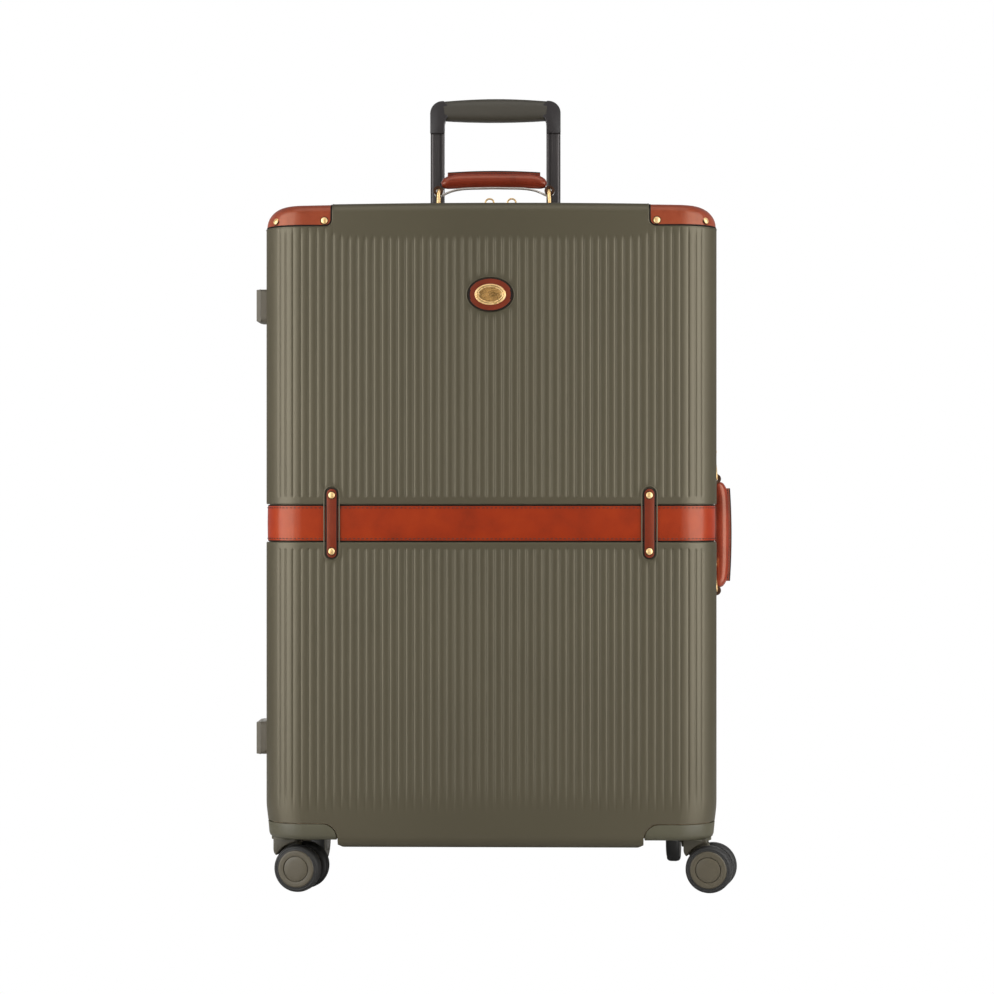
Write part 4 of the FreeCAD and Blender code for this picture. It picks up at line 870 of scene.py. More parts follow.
belt_finish = leather("belt_hide", tint(119, 26, 0), tint(136, 33, 0), tint(149, 43, 2))
# Black coat: real edge paint on the leather, and also painted shade at the belts' and guards' edges and under
# the rivets.
edge_paint_and_shade = speckled("black_edge_paint", tint(17, 12, 9), tint(31, 21, 17), 0.75, 900, 0.00006, 0.5)
edge_paint_and_shade.wear(Specular_IOR_Level=0.2)
thread_finish = speckled("dark_waxed_thread", tint(30, 12, 7), tint(57, 24, 15), 0.5, 2600, 0.00008, 0.6)
paint(belt, belt_finish, edge_paint_and_shade)
# The belt's sides and the outer rim of its face are black: partly edge paint, partly painted shade for the
# gap between belt and channel.
dip_faces(belt, 1, lambda face: not belt_low + belt_edge < face.center.z < belt_high - belt_edge)
stitch_columns = np.arange(-outline_end + 0.004, outline_end - 0.003, 0.0049)
stitch_places = []
for rise in (stitch_rise, belt_width - stitch_rise):
    spots = case_points(stitch_columns, [("wall", belt_low + rise, -0.00135)])[0]
    for spot, nx, ny in zip(spots, *plan_outline(stitch_columns)[2:]):
        along_axis = unit((-ny, nx, 0.10))
        out_axis = np.array((nx, ny, 0))
        stitch_places.append((spot, along_axis, out_axis, np.cross(along_axis, out_axis)))
belt_thread = repeated("front_belt_stitches", stitch_pattern(0.0034, 0.0011), stitch_places)
paint(belt_thread, thread_finish)
both_halves(belt, "tan_leather", "belt")
both_halves(belt_thread, "tan_leather")

# Keepers
# Upright straps of darker hide with round ends cross the belt in sunk pockets and hold it in place.
# Their edges are painted black, and a brass rivet goes through each end.
keeper_face = front_face - 0.0009
keepers = [pill("keeper", x, -0.0001, keeper_face, front_face + 0.0012) for x in (-keeper_x, keeper_x)]
for keeper in keepers:
    bevel_where(keeper, lambda spot: spot.y < keeper_face + 1e-6, 0.0012)
keepers = join(keepers, "front_keeper_straps")
smooth(keepers, 35)
keeper_finish = leather("keeper_hide", tint(87, 25, 13), tint(105, 33, 19), tint(120, 44, 28))
paint(keepers, keeper_finish, edge_paint_and_shade)
dip_faces(keepers, 1, lambda face: abs(face.normal.y) < 0.97)
both_halves(keepers, "dark_leather", "belt_keepers")

# Corner guards
# Caps of warm tan hide, wet-moulded over the upper corners, lie in sunk seats of the shell.
# Their edge is rolled and black, partly edge paint and partly painted shade for the gap to the seat, and
# brass rivets hold them.
guard_lift = -0.0009
guard = guard_block("guard_right", 0)
cut_with(guard, case_core("guard_outer", guard_lift), "INTERSECT")
cut_with(guard, case_core("guard_inner", -0.0028))
# The black rod along the edge is partly edge paint, partly painted shade in the gap round the seat.
guard_edge = rod("guard_edge", guard_line(-0.0003, guard_lift - 0.0004), 0.0009)
guard_finish = leather("guard_hide", tint(108, 37, 18), tint(127, 50, 29), tint(142, 64, 39), 0.42, 0.3)
smooth(guard, 35)
paint(guard, guard_finish)
paint(guard_edge, edge_paint_and_shade)
guard = join([guard, guard_edge], "guard_right")
guards = join([guard, copy_of(guard, "guard_left", "X")], "front_guard_caps")
both_halves(guards, "guard_leather", "corner_guards")

# Rivets
# Solid brass domes go through every keeper end and corner guard, each over a black ring that is painted shade
# round its foot.
# Each is turned, then set with a punch.
shade_ring_profile = [(0, -0.0004), (0.0046, -0.0004), (0.0046, 0.0001), (0.0043, 0.0003), (0, 0.0003)]
dome_profile = [(0, 0.0000), (0.0038, 0.0000), (0.0039, 0.0005), (0.0036, 0.0011), (0.0029, 0.0016),
                (0.0016, 0.0019), (0, 0.0020)]
corner_turn = math.radians(44)
guard_rivet_x = 0.1895


def turned(name, profile, axis, steps=40):
    """A profile of radius and height, spun about an axis through the origin."""
    spots = [(radius, height, 0) if axis == "Y" else (radius, 0, height) for radius, height in profile]
    piece = new_mesh(name, spots, [(i, i + 1) for i in range(len(spots) - 1)], [])
    with editing(piece):
        spin_axis = (0, 1, 0) if axis == "Y" else (0, 0, 1)
        bpy.ops.mesh.spin(steps=steps, angle=2 * math.pi, center=(0, 0, 0), axis=spin_axis)
    weld(piece)
    smooth(piece)
    return piece


def metal(name, dark, light, roughness, metallic=1.0):
    """Polished metal with faint smears and fine scratches."""
    finish = Finish(name, roughness, metallic)
    smear = finish.noise(160, 4, 0.6)
    finish.wear(Base_Color=finish.two_tone(smear, dark, light),
                Roughness=finish.spread(smear, roughness - 0.06, roughness + 0.10),
                Normal=finish.bump(finish.streaks((300.0, 2400.0, 300.0)), 0.00002, 0.4))
    return finish


def rivet_frame(spot, out):
    """An origin and three axes with the third along a direction."""
    out = unit(out)
    across = unit(np.cross((0.0, 0.0, 1.0) if abs(out[2]) < 0.9 else (0.0, 1.0, 0.0), out))
    return (spot, across, np.cross(out, across), out)


rivet_frames = []
for side in (-1, 1):
    for rise in (-0.032, 0.032):
        rivet_frames.append(rivet_frame((side * keeper_x, keeper_face, belt_middle + rise), (0, -1, 0)))
    rivet_frames.append(rivet_frame((side * guard_rivet_x, front_face - guard_lift, 0.7687), (0, -1, 0)))
    bend = on_profile(side * (flat_half + plan_radius * corner_turn), 0.7690, guard_lift)
    out = (side * math.sin(corner_turn) * 0.93, -math.cos(corner_turn) * 0.93, 0.36)
    rivet_frames.append(rivet_frame(bend, out))
    top_spot = (side * guard_rivet_x, -0.039, top_height(guard_rivet_x) + guard_lift)
    rivet_frames.append(rivet_frame(top_spot, (0, 0, 1)))
brass_finish = metal("polished_brass", tint(228, 182, 116), tint(250, 216, 158), 0.27, 0.6)
domes = repeated("rivet_domes", turned("dome", dome_profile, "Z", 24), rivet_frames)
# The black rings under the domes are painted shade round each rivet's foot.
shade_rings = repeated("rivet_shade_rings", turned("shade_ring", shade_ring_profile, "Z", 24), rivet_frames)
paint(domes, brass_finish)
paint(shade_rings, edge_paint_and_shade)
both_halves(join([domes, shade_rings], "front_rivet_heads"), "brass", "rivets")

# Badge
# An oval pad of the keepers' hide with a blackened edge sits in a shallow pocket of the front.
# It carries a plain cast brass oval with a double raised rim.
pad_low, pad_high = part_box("badge_backing")
plate_low, plate_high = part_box("badge_plate")
pad_face = pad_low[1] + 0.0008
plate_face = plate_low[1] + 0.0006


def step_face(piece, y_face, *steps):
    """Inset the front face again and again, moving it out or in at each step."""
    with editing(piece, "DESELECT", "FACE",
                 lambda face: face.normal.y < -0.9 and abs(face.center.y - y_face) < 1e-5):
        for inset, out in steps:
            bpy.ops.mesh.inset(thickness=inset, depth=0)
            bpy.ops.transform.translate(value=(0, -out, 0))


def oval_share(point, corner):
    """How far out a point of an oval lies: 0 at its middle, 1 at its edge."""
    return math.hypot(point.x / corner[0], (point.z - badge_z) / (corner[2] - badge_z))


def on_bronze(face):
    """Whether a face of the plate lies in its dull field or in the ring between its rims."""
    share = oval_share(face.center, plate_high)
    return face.normal.y < -0.5 and (share < 0.70 or 0.80 < share < 0.86)


pad = oval("badge_pad", pad_high[0], pad_high[2] - badge_z, pad_face, front_face + 0.0009)
step_face(pad, pad_face, (0.0005, 0.0004), (0.0006, 0.0002), (0.0012, 0.0002))
smooth(pad, 60)
paint(pad, keeper_finish, edge_paint_and_shade)
dip_faces(pad, 1, lambda face: abs(face.normal.y) < 0.75 or oval_share(face.center, pad_high) > 0.93)
plate = oval("badge_oval", plate_high[0], plate_high[2] - badge_z, plate_face, pad_low[1] + 0.0004)
step_face(plate, plate_face, (0.0003, 0.0004), (0.0004, 0.0002), (0.0006, 0.0), (0.0004, -0.0003),
          (0.0005, -0.0001), (0.0004, 0.0002), (0.0005, 0.0001), (0.0004, -0.0003), (0.0006, -0.0002),
          (0.0022, 0.0003), (0.0020, 0.0001))
smooth(plate, 60)
bronze = Finish("cast_badge_brass", 0.34, 0.5)
pits = bronze.noise(900, 4, 0.6)
tarnish = bronze.maths("MULTIPLY", bronze.maths("ADD", bronze.noise(120, 4, 0.6), pits), 0.5)
bronze.wear(Base_Color=bronze.ramp(tarnish, (0.40, tint(102, 74, 35)), (0.60, tint(206, 159, 93))),
            Roughness=bronze.spread(pits, 0.26, 0.46), Normal=bronze.bump(pits, 0.00018, 0.6))
paint(plate, brass_finish, bronze)
dip_faces(plate, 1, on_bronze)
attach(pad, "front_case", "dark_leather", "badge_backing")
attach(plate, "front_case", "brass", "badge_plate")

# Caster housings
# Moulded corner blocks close the notches in the lower corners and take the casters' kingpins.
# They are screwed to the shell from inside, and meet it at a narrow rounded seam.
housing_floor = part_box("front_caster_housings")[0][2]
housing_edge = 0.0060
caster_x = 0.236
caster_y = 0.113


def place(piece, location, rotation=(0, 0, 0)):
    """Turn and move a piece, and put its place into its mesh."""
    piece.rotation_euler = rotation
    piece.location = location
    only(piece)
    bpy.ops.object.transform_apply(location=True, rotation=True)
    return piece


def round_edges(piece, width, segments, angle):
    """Round the edges that are sharper than an angle."""
    apply_modifier(piece, "BEVEL", width=width, segments=segments, limit_method="ANGLE",
                   angle_limit=math.radians(angle))


housing_columns = np.concatenate([np.linspace(0.10, flat_half, 7)[:-1], half_columns(6, 21)])
housing_rows = []
for turn in np.linspace(0, right_angle, 7):
    rise = housing_edge * (1 - math.cos(turn))
    housing_rows.append(("wall", housing_floor + rise, housing_edge * (math.sin(turn) - 1)))
housing_rows.append(("wall", 0.1, 0.0))
housing_skin = case_points(housing_columns, housing_rows)
housing_ends = housing_skin[[0, -1]].copy()
housing_ends[:, :, 1] = parting
housing = moulded_sheet("housing_right", np.concatenate([housing_ends[:1], housing_skin, housing_ends[1:]]))
with editing(housing):
    bpy.ops.mesh.remove_doubles(threshold=1e-6)
    bpy.ops.mesh.select_all(action="DESELECT")
    bpy.ops.mesh.select_non_manifold()
    bpy.ops.mesh.edge_face_add()
cut_with(housing, housing_block("housing_bounds", -0.0008), "INTERSECT")
round_edges(housing, 0.0008, 2, 50)
boss_profile = [(0, 0.0), (0.0178, 0.0), (0.0178, 0.0035), (0.0196, 0.0050), (0.0196, 0.012), (0, 0.012)]
housing_boss = place(turned("housing_boss", boss_profile, "Z"), (caster_x, -caster_y, housing_floor - 0.0030))
housing = join([housing, housing_boss], "housing_right")
smooth(housing)
paint(housing, moulded_plastic("housing_plastic_grain", tint(69, 65, 48), tint(77, 74, 55), 0.50))
housings = join([housing, copy_of(housing, "housing_left", "X")], "front_housings")
both_halves(housings, "housing_plastic", "caster_housings")

# Casters
# Each has a moulded hood that swivels on a kingpin, with a leg between two wheels on one axle.
# A wheel is a nylon hub with a ringed cap and a moulded-on tyre of dark grey rubber.
wheel_radius = 0.027
trail = 0.018
wheel_inner = 0.0075
front_caster_turn = -12
rear_caster_turn = 84


def solid_outline(name, outline, low, high):
    """An outline of X and Z, extruded along Y."""
    piece = new_mesh(name, [(x, low, z) for x, z in outline], [], [tuple(range(len(outline)))])
    with editing(piece):
        bpy.ops.mesh.extrude_region_move(TRANSFORM_OT_translate={"value": (0, high - low, 0)})
        bpy.ops.mesh.select_all(action="SELECT")
        bpy.ops.mesh.normals_make_consistent(inside=False)
    return piece


def arc(centre, radius, start, end, count):
    """Points along an arc, angles in degrees."""
    turns = np.radians(np.linspace(start, end, count))
    return [(centre[0] + radius * math.cos(t), centre[1] + radius * math.sin(t)) for t in turns]


axle_centre = (trail, wheel_radius)
hood_outline = [(0.0148, 0.0632), (-0.0122, 0.0632), (-0.0122, 0.0480)]
hood_outline += arc((-0.0022, 0.0480), 0.0100, 180, 222, 7)[1:]
hood_outline += arc(axle_centre, 0.0296, 153, 97, 14)
hood = solid_outline("hood", hood_outline, -0.0150, 0.0150)
round_edges(hood, 0.0016, 3, 40)
leg_outline = [(0.0125, 0.0600), (-0.0115, 0.0600), (-0.0115, 0.0460)]
leg_outline += arc(axle_centre, 0.0090, 200, 400, 17)
leg = solid_outline("leg", leg_outline, -0.0060, 0.0060)
round_edges(leg, 0.0010, 2, 40)
disc_profile = [(0, 0.0615), (0.0150, 0.0615), (0.0166, 0.0628), (0.0166, 0.0660), (0.0050, 0.0660),
                (0.0050, 0.0718), (0, 0.0718)]
hood = join([hood, leg, turned("swivel_disc", disc_profile, "Z")], "hood")
smooth(hood)
tyre_profile = [(0.0212, 0.0002), (0.0236, 0.0002), (0.0246, 0.0006), (0.0258, 0.0016), (0.0266, 0.0032),
                (0.0270, 0.0056), (0.0270, 0.0114), (0.0266, 0.0138), (0.0258, 0.0154), (0.0246, 0.0164),
                (0.0238, 0.0165), (0.0232, 0.0161), (0.0226, 0.0165), (0.0214, 0.0165), (0.0212, 0.0002)]
cap_profile = [(0, 0.0006), (0.0210, 0.0006), (0.0214, 0.0012), (0.0214, 0.0158), (0.0211, 0.0167),
               (0.0204, 0.0172), (0.0194, 0.0173), (0.0158, 0.0173), (0.0150, 0.0171), (0.0147, 0.0160),
               (0.0141, 0.0160), (0.0138, 0.0171), (0.0130, 0.0174), (0.0080, 0.0176), (0, 0.0177)]
axle_profile = [(0, -0.0090), (0.0030, -0.0090), (0.0030, 0.0090), (0, 0.0090)]


def pair_on_axle(piece, name):
    """Two wheels' worth of a piece, back to back on the axle."""
    place(piece, (0, wheel_inner, 0))
    pair = join([piece, copy_of(piece, name + "_in", "Y")], name)
    return place(pair, (trail, 0, wheel_radius))


tyres = pair_on_axle(turned("tyre", tyre_profile, "Y", 72), "tyres")
hubs = pair_on_axle(turned("hub", cap_profile, "Y", 72), "hubs")
hubs = join([hubs, place(turned("axle", axle_profile, "Y", 20), (trail, 0, wheel_radius))], "hubs")
rubber = Finish("tyre_rubber_grain", 0.62)
dust = rubber.noise(90, 4, 0.6)
rubber.wear(Base_Color=rubber.two_tone(dust, tint(24, 23, 22), tint(35, 34, 32)),
            Roughness=rubber.spread(dust, 0.5, 0.72), Normal=rubber.bump(rubber.noise(1500, 2), 0.0001, 0.5))
paint(hood, moulded_plastic("hood_plastic_grain", tint(61, 56, 42), tint(69, 64, 49), 0.45))
paint(tyres, rubber)
paint(hubs, moulded_plastic("cap_plastic_grain", tint(76, 69, 53), tint(85, 78, 62), 0.42))
for half, y, turn in (("front", -caster_y, front_caster_turn), ("rear", caster_y, rear_caster_turn)):
    for side, x in (("left", -caster_x), ("right", caster_x)):
        for pattern, kind, body, slot in ((hood, "fork", "caster", "housing_plastic"),
                                          (hubs, "hubs", "wheels", "cap_plastic"),
                                          (tyres, "tyres", "wheels", "tyre_rubber")):
            piece = copy_of(pattern, f"{half}_{side}_{pattern.name}")
            place(piece, (x, y, 0), (0, 0, math.radians(turn)))
            attach(piece, f"{body}_{half}_{side}", slot, f"caster_{half}_{side}_{kind}")
for pattern in (hood, hubs, tyres):
    bpy.data.objects.remove(pattern)

# Side feet
# Grey-brown moulded pads on the hinge side, which the case rests on when it lies or is stood on that side.
# Each has three shallow treads and is held by two countersunk screws.
foot_finish = moulded_plastic("foot_plastic_grain", tint(82, 76, 64), tint(96, 90, 77), 0.5)
steel_finish = metal("brushed_steel", tint(118, 114, 109), tint(158, 154, 148), 0.42)
foot_face = -0.2690
foot_half_long = 0.025
foot_half_high = 0.0190
tread_half = 0.0012
screw_profile = [(0, 0.0004), (0.0010, 0.0004), (0.0012, 0.0012), (0.0026, 0.0014), (0.0030, 0.0010),
                 (0.0030, -0.002)]


def side_foot(y, z):
    """One foot with its treads and screws."""
    foot = block("foot", (foot_face, y - foot_half_long, z - foot_half_high),
                 (-0.2597, y + foot_half_long, z + foot_half_high))
    bevel_where(foot, lambda spot: spot.x < foot_face + 0.001, 0.0030, 5)
    bevel_where(foot, lambda spot: (abs(abs(spot.y - y) - foot_half_long) < 1e-5
                                    and abs(abs(spot.z - z) - foot_half_high) < 0.006), 0.0060, 5)
    treads = [block("tread", (foot_face - 0.0020, y + shift - tread_half, z - 0.013),
                    (foot_face + 0.0008, y + shift + tread_half, z + 0.013), 0.0008, 2)
              for shift in (-0.009, 0.0, 0.009)]
    cut_with(foot, join(treads, "treads"))
    smooth(foot, 35)
    paint(foot, foot_finish)
    pieces = [foot]
    for shift in (-0.0165, 0.0165):
        screw = turned("screw", screw_profile, "Z", 20)
        place(screw, (foot_face + 0.0003, y + shift, z), (0, -right_angle, 0))
        paint(screw, steel_finish)
        pieces.append(screw)
    return join(pieces, "foot")


for half, y, heights in (("front", -0.085, (0.1745, 0.6752)), ("rear", 0.085, (0.2345, 0.6180))):
    feet = join([side_foot(y, z) for z in heights], half + "_feet")
    attach(feet, half + "_case", "foot_plastic", half + "_side_feet")

# Hinges
# Pressed steel leaves with rolled knuckles on a pin, riveted through the shells on the left side.
# They keep their drawn shape and get a brushed finish.
paint_nodes(steel_finish, "hinge_front_leaves", "hinge_rear_leaves", "hinge_pins")

# Zip sliders and pulls
# Two cast brass sliders meet over the chain at the top, each with a flat stirrup-shaped pull on a pin.
# The pulls are stamped from sheet and tumbled until their edges are round.
pull_thick = 0.0019
pull_edge = 0.0005


def pressed_plate(name, outlines):
    """Outlines of X and Z, the later ones holes in the first, as a plate with rounded edges on Y = 0."""
    lines = [[(x, z, 0) for x, z in outline] for outline in outlines]
    piece = bent_line(name, lines, dimensions="2D", fill_mode="BOTH", extrude=pull_thick / 2 - pull_edge,
                      bevel_depth=pull_edge, bevel_resolution=2, offset=-pull_edge)
    place(piece, (0, 0, 0), (right_angle, 0, 0))
    smooth(piece)
    return piece


def round_box(low, high, radii, count=7):
    """A closed outline with its four corner radii, from the lower right corner round to the left."""
    (x0, z0), (x1, z1) = low, high
    spots = arc((x1 - radii[0], z0 + radii[0]), radii[0], -90, 0, count)
    spots += arc((x1 - radii[1], z1 - radii[1]), radii[1], 0, 90, count)
    spots += arc((x0 + radii[2], z1 - radii[2]), radii[2], 90, 180, count)
    return spots + arc((x0 + radii[3], z0 + radii[3]), radii[3], 180, 270, count)


for side in ("left", "right"):
    pull_low, pull_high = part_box("zip_pull_" + side)
    (x0, z0), (x1, z1) = (pull_low[0], pull_low[2]), (pull_high[0], pull_high[2])
    outlines = [round_box((x0, z0), (x1, z1), (0.0030, 0.0058, 0.0058, 0.0030)),
                round_box((x0 + 0.0020, z0 + 0.0062), (x1 - 0.0020, z1 - 0.0020),
                          (0.0016, 0.0039, 0.0039, 0.0016)),
                arc(((x0 + x1) / 2, z0 + 0.0025), 0.0012, 0, 345, 16)]
    pull = pressed_plate(side + "_zip_pull", outlines)
    paint(pull, brass_finish)
    attach(pull, "pull_" + side, "brass", "zip_pull_" + side)
    paint_nodes(brass_finish, "zip_slider_" + side)

# Packing straps
# Two elastic webbing straps run up the inside of the rear half, sewn in at top and bottom.
# Each closes with a flat moulded clip.
strap_low, strap_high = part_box("packing_straps")
strap_x = 0.150
strap_half = 0.019
strap_y = 0.1455
clip_half = 0.023
slot_half = 0.017
strap_finish = Finish("strap_webbing_weave", 0.8)
strap_weave = strap_finish.maths("MULTIPLY", strap_finish.wave(260.0, "Z"),
                                 strap_finish.wave(150.0, "X", 1.0))
strap_tone = strap_finish.ramp(strap_weave, (0.0, tint(83, 67, 50)), (1.0, tint(131, 108, 83)))
strap_finish.wear(Base_Color=strap_tone, Normal=strap_finish.bump(strap_weave, 0.0003, 0.7))
clip_finish = moulded_plastic("clip_plastic_grain", tint(53, 48, 44), tint(69, 63, 57), 0.4)
straps = []
for middle in (-strap_x, strap_x):
    across = np.linspace(middle - strap_half, middle + strap_half, 9)
    upward = np.linspace(strap_low[2], strap_high[2], 90)
    bow = 0.0016 * np.sin((upward - strap_low[2]) * 29) ** 2
    strap = moulded_sheet("strap", [[(x, strap_y - rise, z) for x in across] for z, rise in zip(upward, bow)])
    apply_modifier(strap, "SOLIDIFY", thickness=0.0012, offset=0)
    smooth(strap)
    paint(strap, strap_finish)
    clip = block("clip", (middle - clip_half, 0.1398, 0.560), (middle + clip_half, 0.1468, 0.604), 0.0022, 3)
    slots = [block("clip_slot", (middle - slot_half, 0.1380, z - 0.002),
                   (middle + slot_half, 0.1418, z + 0.002)) for z in (0.567, 0.582, 0.597)]
    cut_with(clip, join(slots, "clip_slots"))
    smooth(clip, 35)
    paint(clip, clip_finish)
    straps += [strap, clip]
attach(join(straps, "webbing_straps"), "rear_case", "strap_webbing", "packing_straps")

# Pull handle
# Drawn and anodised dark tubes slide in each other, with moulded corner pieces pressed on the top pair.
# The grip between the corners is a barrel of olive soft-touch plastic. A cup in the top takes it all in.
tube_x, tube_y = 0.072, 0.122
tube_half_wide = 0.00875
tube_half_deep = 0.0070
inner_low, inner_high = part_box("trolley_inner_tubes")
grip_half = 0.0635
corner_half_deep = 0.0105
tube_finish = Finish("dark_anodised_tube", 0.34, 0.55)
drawn = tube_finish.streaks((2200.0, 2200.0, 14.0))
tube_finish.wear(Base_Color=tube_finish.two_tone(drawn, tint(59, 56, 56), tint(78, 74, 73)),
                 Roughness=tube_finish.spread(drawn, 0.28, 0.42),
                 Normal=tube_finish.bump(drawn, 0.00003, 0.4))


def tube_section():
    """Outline of the right inner tube, with a channel in its front and its back."""
    x0, x1 = tube_x - tube_half_wide, tube_x + tube_half_wide
    y0, y1 = tube_y - tube_half_deep, tube_y + tube_half_deep
    slot0, slot1 = x0 + 0.0034, x0 + 0.0058
    slope, deep = 0.0003, 0.0011
    small, large = 0.0030, 0.0040
    spots = [(slot1, y0), (slot1 - slope, y0 + deep), (slot0 + slope, y0 + deep), (slot0, y0)]
    spots += arc((x0 + small, y0 + small), small, 270, 180, 7)
    spots += arc((x0 + small, y1 - small), small, 180, 90, 7)
    spots += [(slot0, y1), (slot0 + slope, y1 - deep), (slot1 - slope, y1 - deep), (slot1, y1)]
    spots += arc((x1 - large, y1 - large), large, 90, 0, 7)
    return spots + arc((x1 - large, y0 + large), large, 0, -90, 7)


def pair_across(piece, name):
    """A piece of the right side and its mirror image on the left, as one."""
    return join([piece, copy_of(piece, name + "_left", "X")], name)


section = tube_section()
tube = moulded_sheet("tube_right", [[(x, y, z) for x, y in section + section[:1]]
                                    for z in (inner_low[2], inner_high[2])])
weld(tube, fill=True)
smooth(tube, 35)
paint(tube, tube_finish)
attach(pair_across(tube, "inner_tubes"), "trolley_top", "tube_metal", "trolley_inner_tubes")
paint_nodes(tube_finish, "trolley_mid_tubes", "trolley_outer_tubes")

corner_finish = moulded_plastic("corner_plastic_grain", tint(37, 33, 33), tint(45, 41, 41), 0.42)
corner_outline = [(0.0632, 0.9042), (0.0809, 0.9042), (0.0809, 0.9295)]
corner_outline += arc((0.0655, 0.9295), 0.0154, 0, 90, 12)
corner_outline += [(0.0640, 0.9448), (0.0618, 0.9420), (0.0590, 0.9400), (0.0590, 0.9250), (0.0614, 0.9226),
                   (0.0625, 0.9200), (0.0632, 0.9160)]
grip_corner = solid_outline("corner_right", corner_outline, tube_y - corner_half_deep,
                            tube_y + corner_half_deep)
round_edges(grip_corner, 0.0026, 4, 60)
plug = block("corner_plug", (0.0652, 0.1168, 0.8920), (0.0788, 0.1272, 0.9060), 0.0015, 2)
grip_corner = join([grip_corner, plug], "corner_right")
smooth(grip_corner, 35)
paint(grip_corner, corner_finish)
attach(pair_across(grip_corner, "grip_corners"), "trolley_top", "corner_plastic", "trolley_corners")

grip_rows = []
for x in np.linspace(-grip_half, grip_half, 41):
    share = (x / grip_half) ** 2
    top = 0.9481 - 0.0030 * share
    bottom = 0.9190 + 0.0020 * share
    middle, high, deep = (top + bottom) / 2, (top - bottom) / 2, 0.0120 - 0.0010 * share
    ring = []
    for turn in np.linspace(0, 2 * math.pi, 37):
        c, s = math.cos(turn), math.sin(turn)
        y = tube_y + deep * math.copysign(abs(c) ** 0.72, c)
        z = middle + high * math.copysign(abs(s) ** 0.80, s)
        lean = 0.0017 * math.copysign(abs(x / grip_half) ** 6, x) * (z - middle) / 0.012
        ring.append((x + lean, y, z))
    grip_rows.append(ring)
grip = moulded_sheet("grip_barrel", grip_rows)
weld(grip, fill=True)
smooth(grip, 50)
paint(grip, moulded_plastic("grip_plastic_grain", tint(60, 56, 47), tint(69, 65, 55), 0.5))
attach(grip, "trolley_top", "grip_plastic", "trolley_grip")
button = block("release_pad", (-0.0120, 0.1160, 0.9400), (0.0120, 0.1280, 0.9478), 0.0018, 4)
smooth(button, 35)
paint(button, corner_finish)
attach(button, "release", "corner_plastic", "release_button")
paint_nodes(corner_finish, "trolley_cup", "trolley_foot_bracket")

# Carrying handles
# A roll of hide over a cord core, its edges drawn up into a sewn ridge, with a pale strip under the roll.
# Black loops at its ends hang in brass rings, which swing in brass brackets on the top and on the right side.
handle_hide = leather("handle_hide", tint(108, 33, 18), tint(132, 46, 28), tint(149, 60, 40), 0.30, 0.45)
loop_hide = leather("loop_hide", tint(34, 22, 17), tint(46, 30, 24), tint(60, 40, 32), 0.4, 0.2)
strip_finish = leather("pale_strip_hide", tint(169, 166, 160), tint(193, 190, 185), tint(214, 210, 205),
                       0.5, 0.0)
loop_x = 0.0672
handle_y = 0.035
top_handle_z = 0.8268
side_handle_z = 0.4081
ring_radius = 0.0021
ridge_half = 0.056
ridge_sag = 0.0019
roll_steps = np.array([(0.0, 9.6, 8.8, 8.6), (30, 9.4, 8.8, 8.6), (44, 8.9, 8.7, 8.6), (52, 8.0, 8.3, 8.4),
                       (57, 6.6, 7.4, 8.2), (60, 5.4, 6.2, 7.6), (62, 4.4, 4.6, 6.4),
                       (63.2, 3.8, 2.6, 4.2)]) / 1000
strip_steps = np.array([(0, 0.6), (34, 0.0), (44, -1.2), (51, -2.8), (57, -5.2), (62, -8.0),
                        (65.5, -9.6)]) / 1000


def resampled(steps, count):
    """Rows of a table at even distances along the path of its first two columns."""
    far = np.concatenate([[0], np.cumsum(np.hypot(*np.diff(steps[:, :2], axis=0).T))])
    fine = np.linspace(0, far[-1], count)
    return np.stack([np.interp(fine, far, column) for column in steps.T], 1)


def softened(values):
    """Running mean of five values."""
    return np.convolve(np.pad(values, 2, mode="edge"), np.ones(5) / 5, "valid")


def handle_roll():
    """The roll, tapering and turning down at its ends."""
    right = resampled(roll_steps, 60)
    for k in (1, 2):
        right[:, k] = softened(right[:, k])
    run = np.concatenate([right[:0:-1] * np.array((-1, 1, 1, 1)), right])
    rows = []
    for (x, z, high, wide), slope in zip(run, np.gradient(run[:, :2], axis=0)):
        tx, tz = unit(slope)
        rows.append([(x - tz * high * math.sin(turn), wide * math.cos(turn), z + tx * high * math.sin(turn))
                     for turn in np.linspace(0, -2 * math.pi, 29)])
    roll = moulded_sheet("handle_roll", rows)
    weld(roll, fill=True)
    smooth(roll, 60)
    paint(roll, handle_hide)
    return roll


def handle_ridge():
    """The sewn ridge: two layers with a dark painted edge and square ends."""
    section = [(-0.0018, 0.0145), (-0.0018, 0.0202), (-0.0017, 0.0210), (-0.0013, 0.0215), (0.0, 0.0213),
               (0.0013, 0.0215), (0.0017, 0.0210), (0.0018, 0.0202), (0.0018, 0.0145), (-0.0018, 0.0145)]
    ridge = moulded_sheet("handle_ridge", [[(x, y, z - ridge_sag * (x / ridge_half) ** 2) for y, z in section]
                                           for x in np.linspace(-ridge_half, ridge_half, 33)])
    weld(ridge, fill=True)
    smooth(ridge)
    paint(ridge, keeper_finish, edge_paint_and_shade)
    dip_faces(ridge, 1, lambda face: face.center.z + ridge_sag * (face.center.x / ridge_half) ** 2 > 0.0203)
    places = []
    for x in np.arange(-0.0535, 0.0536, 0.0034):
        z = 0.0184 - ridge_sag * (x / ridge_half) ** 2
        run = unit((1.0, 0.0, 0.08 - 2 * ridge_sag * x / ridge_half**2))
        for side in (-1, 1):
            out = np.array((0.0, side, 0.0))
            places.append(((x, side * 0.00185, z), run, out, np.cross(run, out)))
    thread = repeated("handle_stitches", stitch_pattern(0.0024, 0.0011), places)
    paint(thread, thread_finish)
    return join([ridge, thread], "handle_ridge")


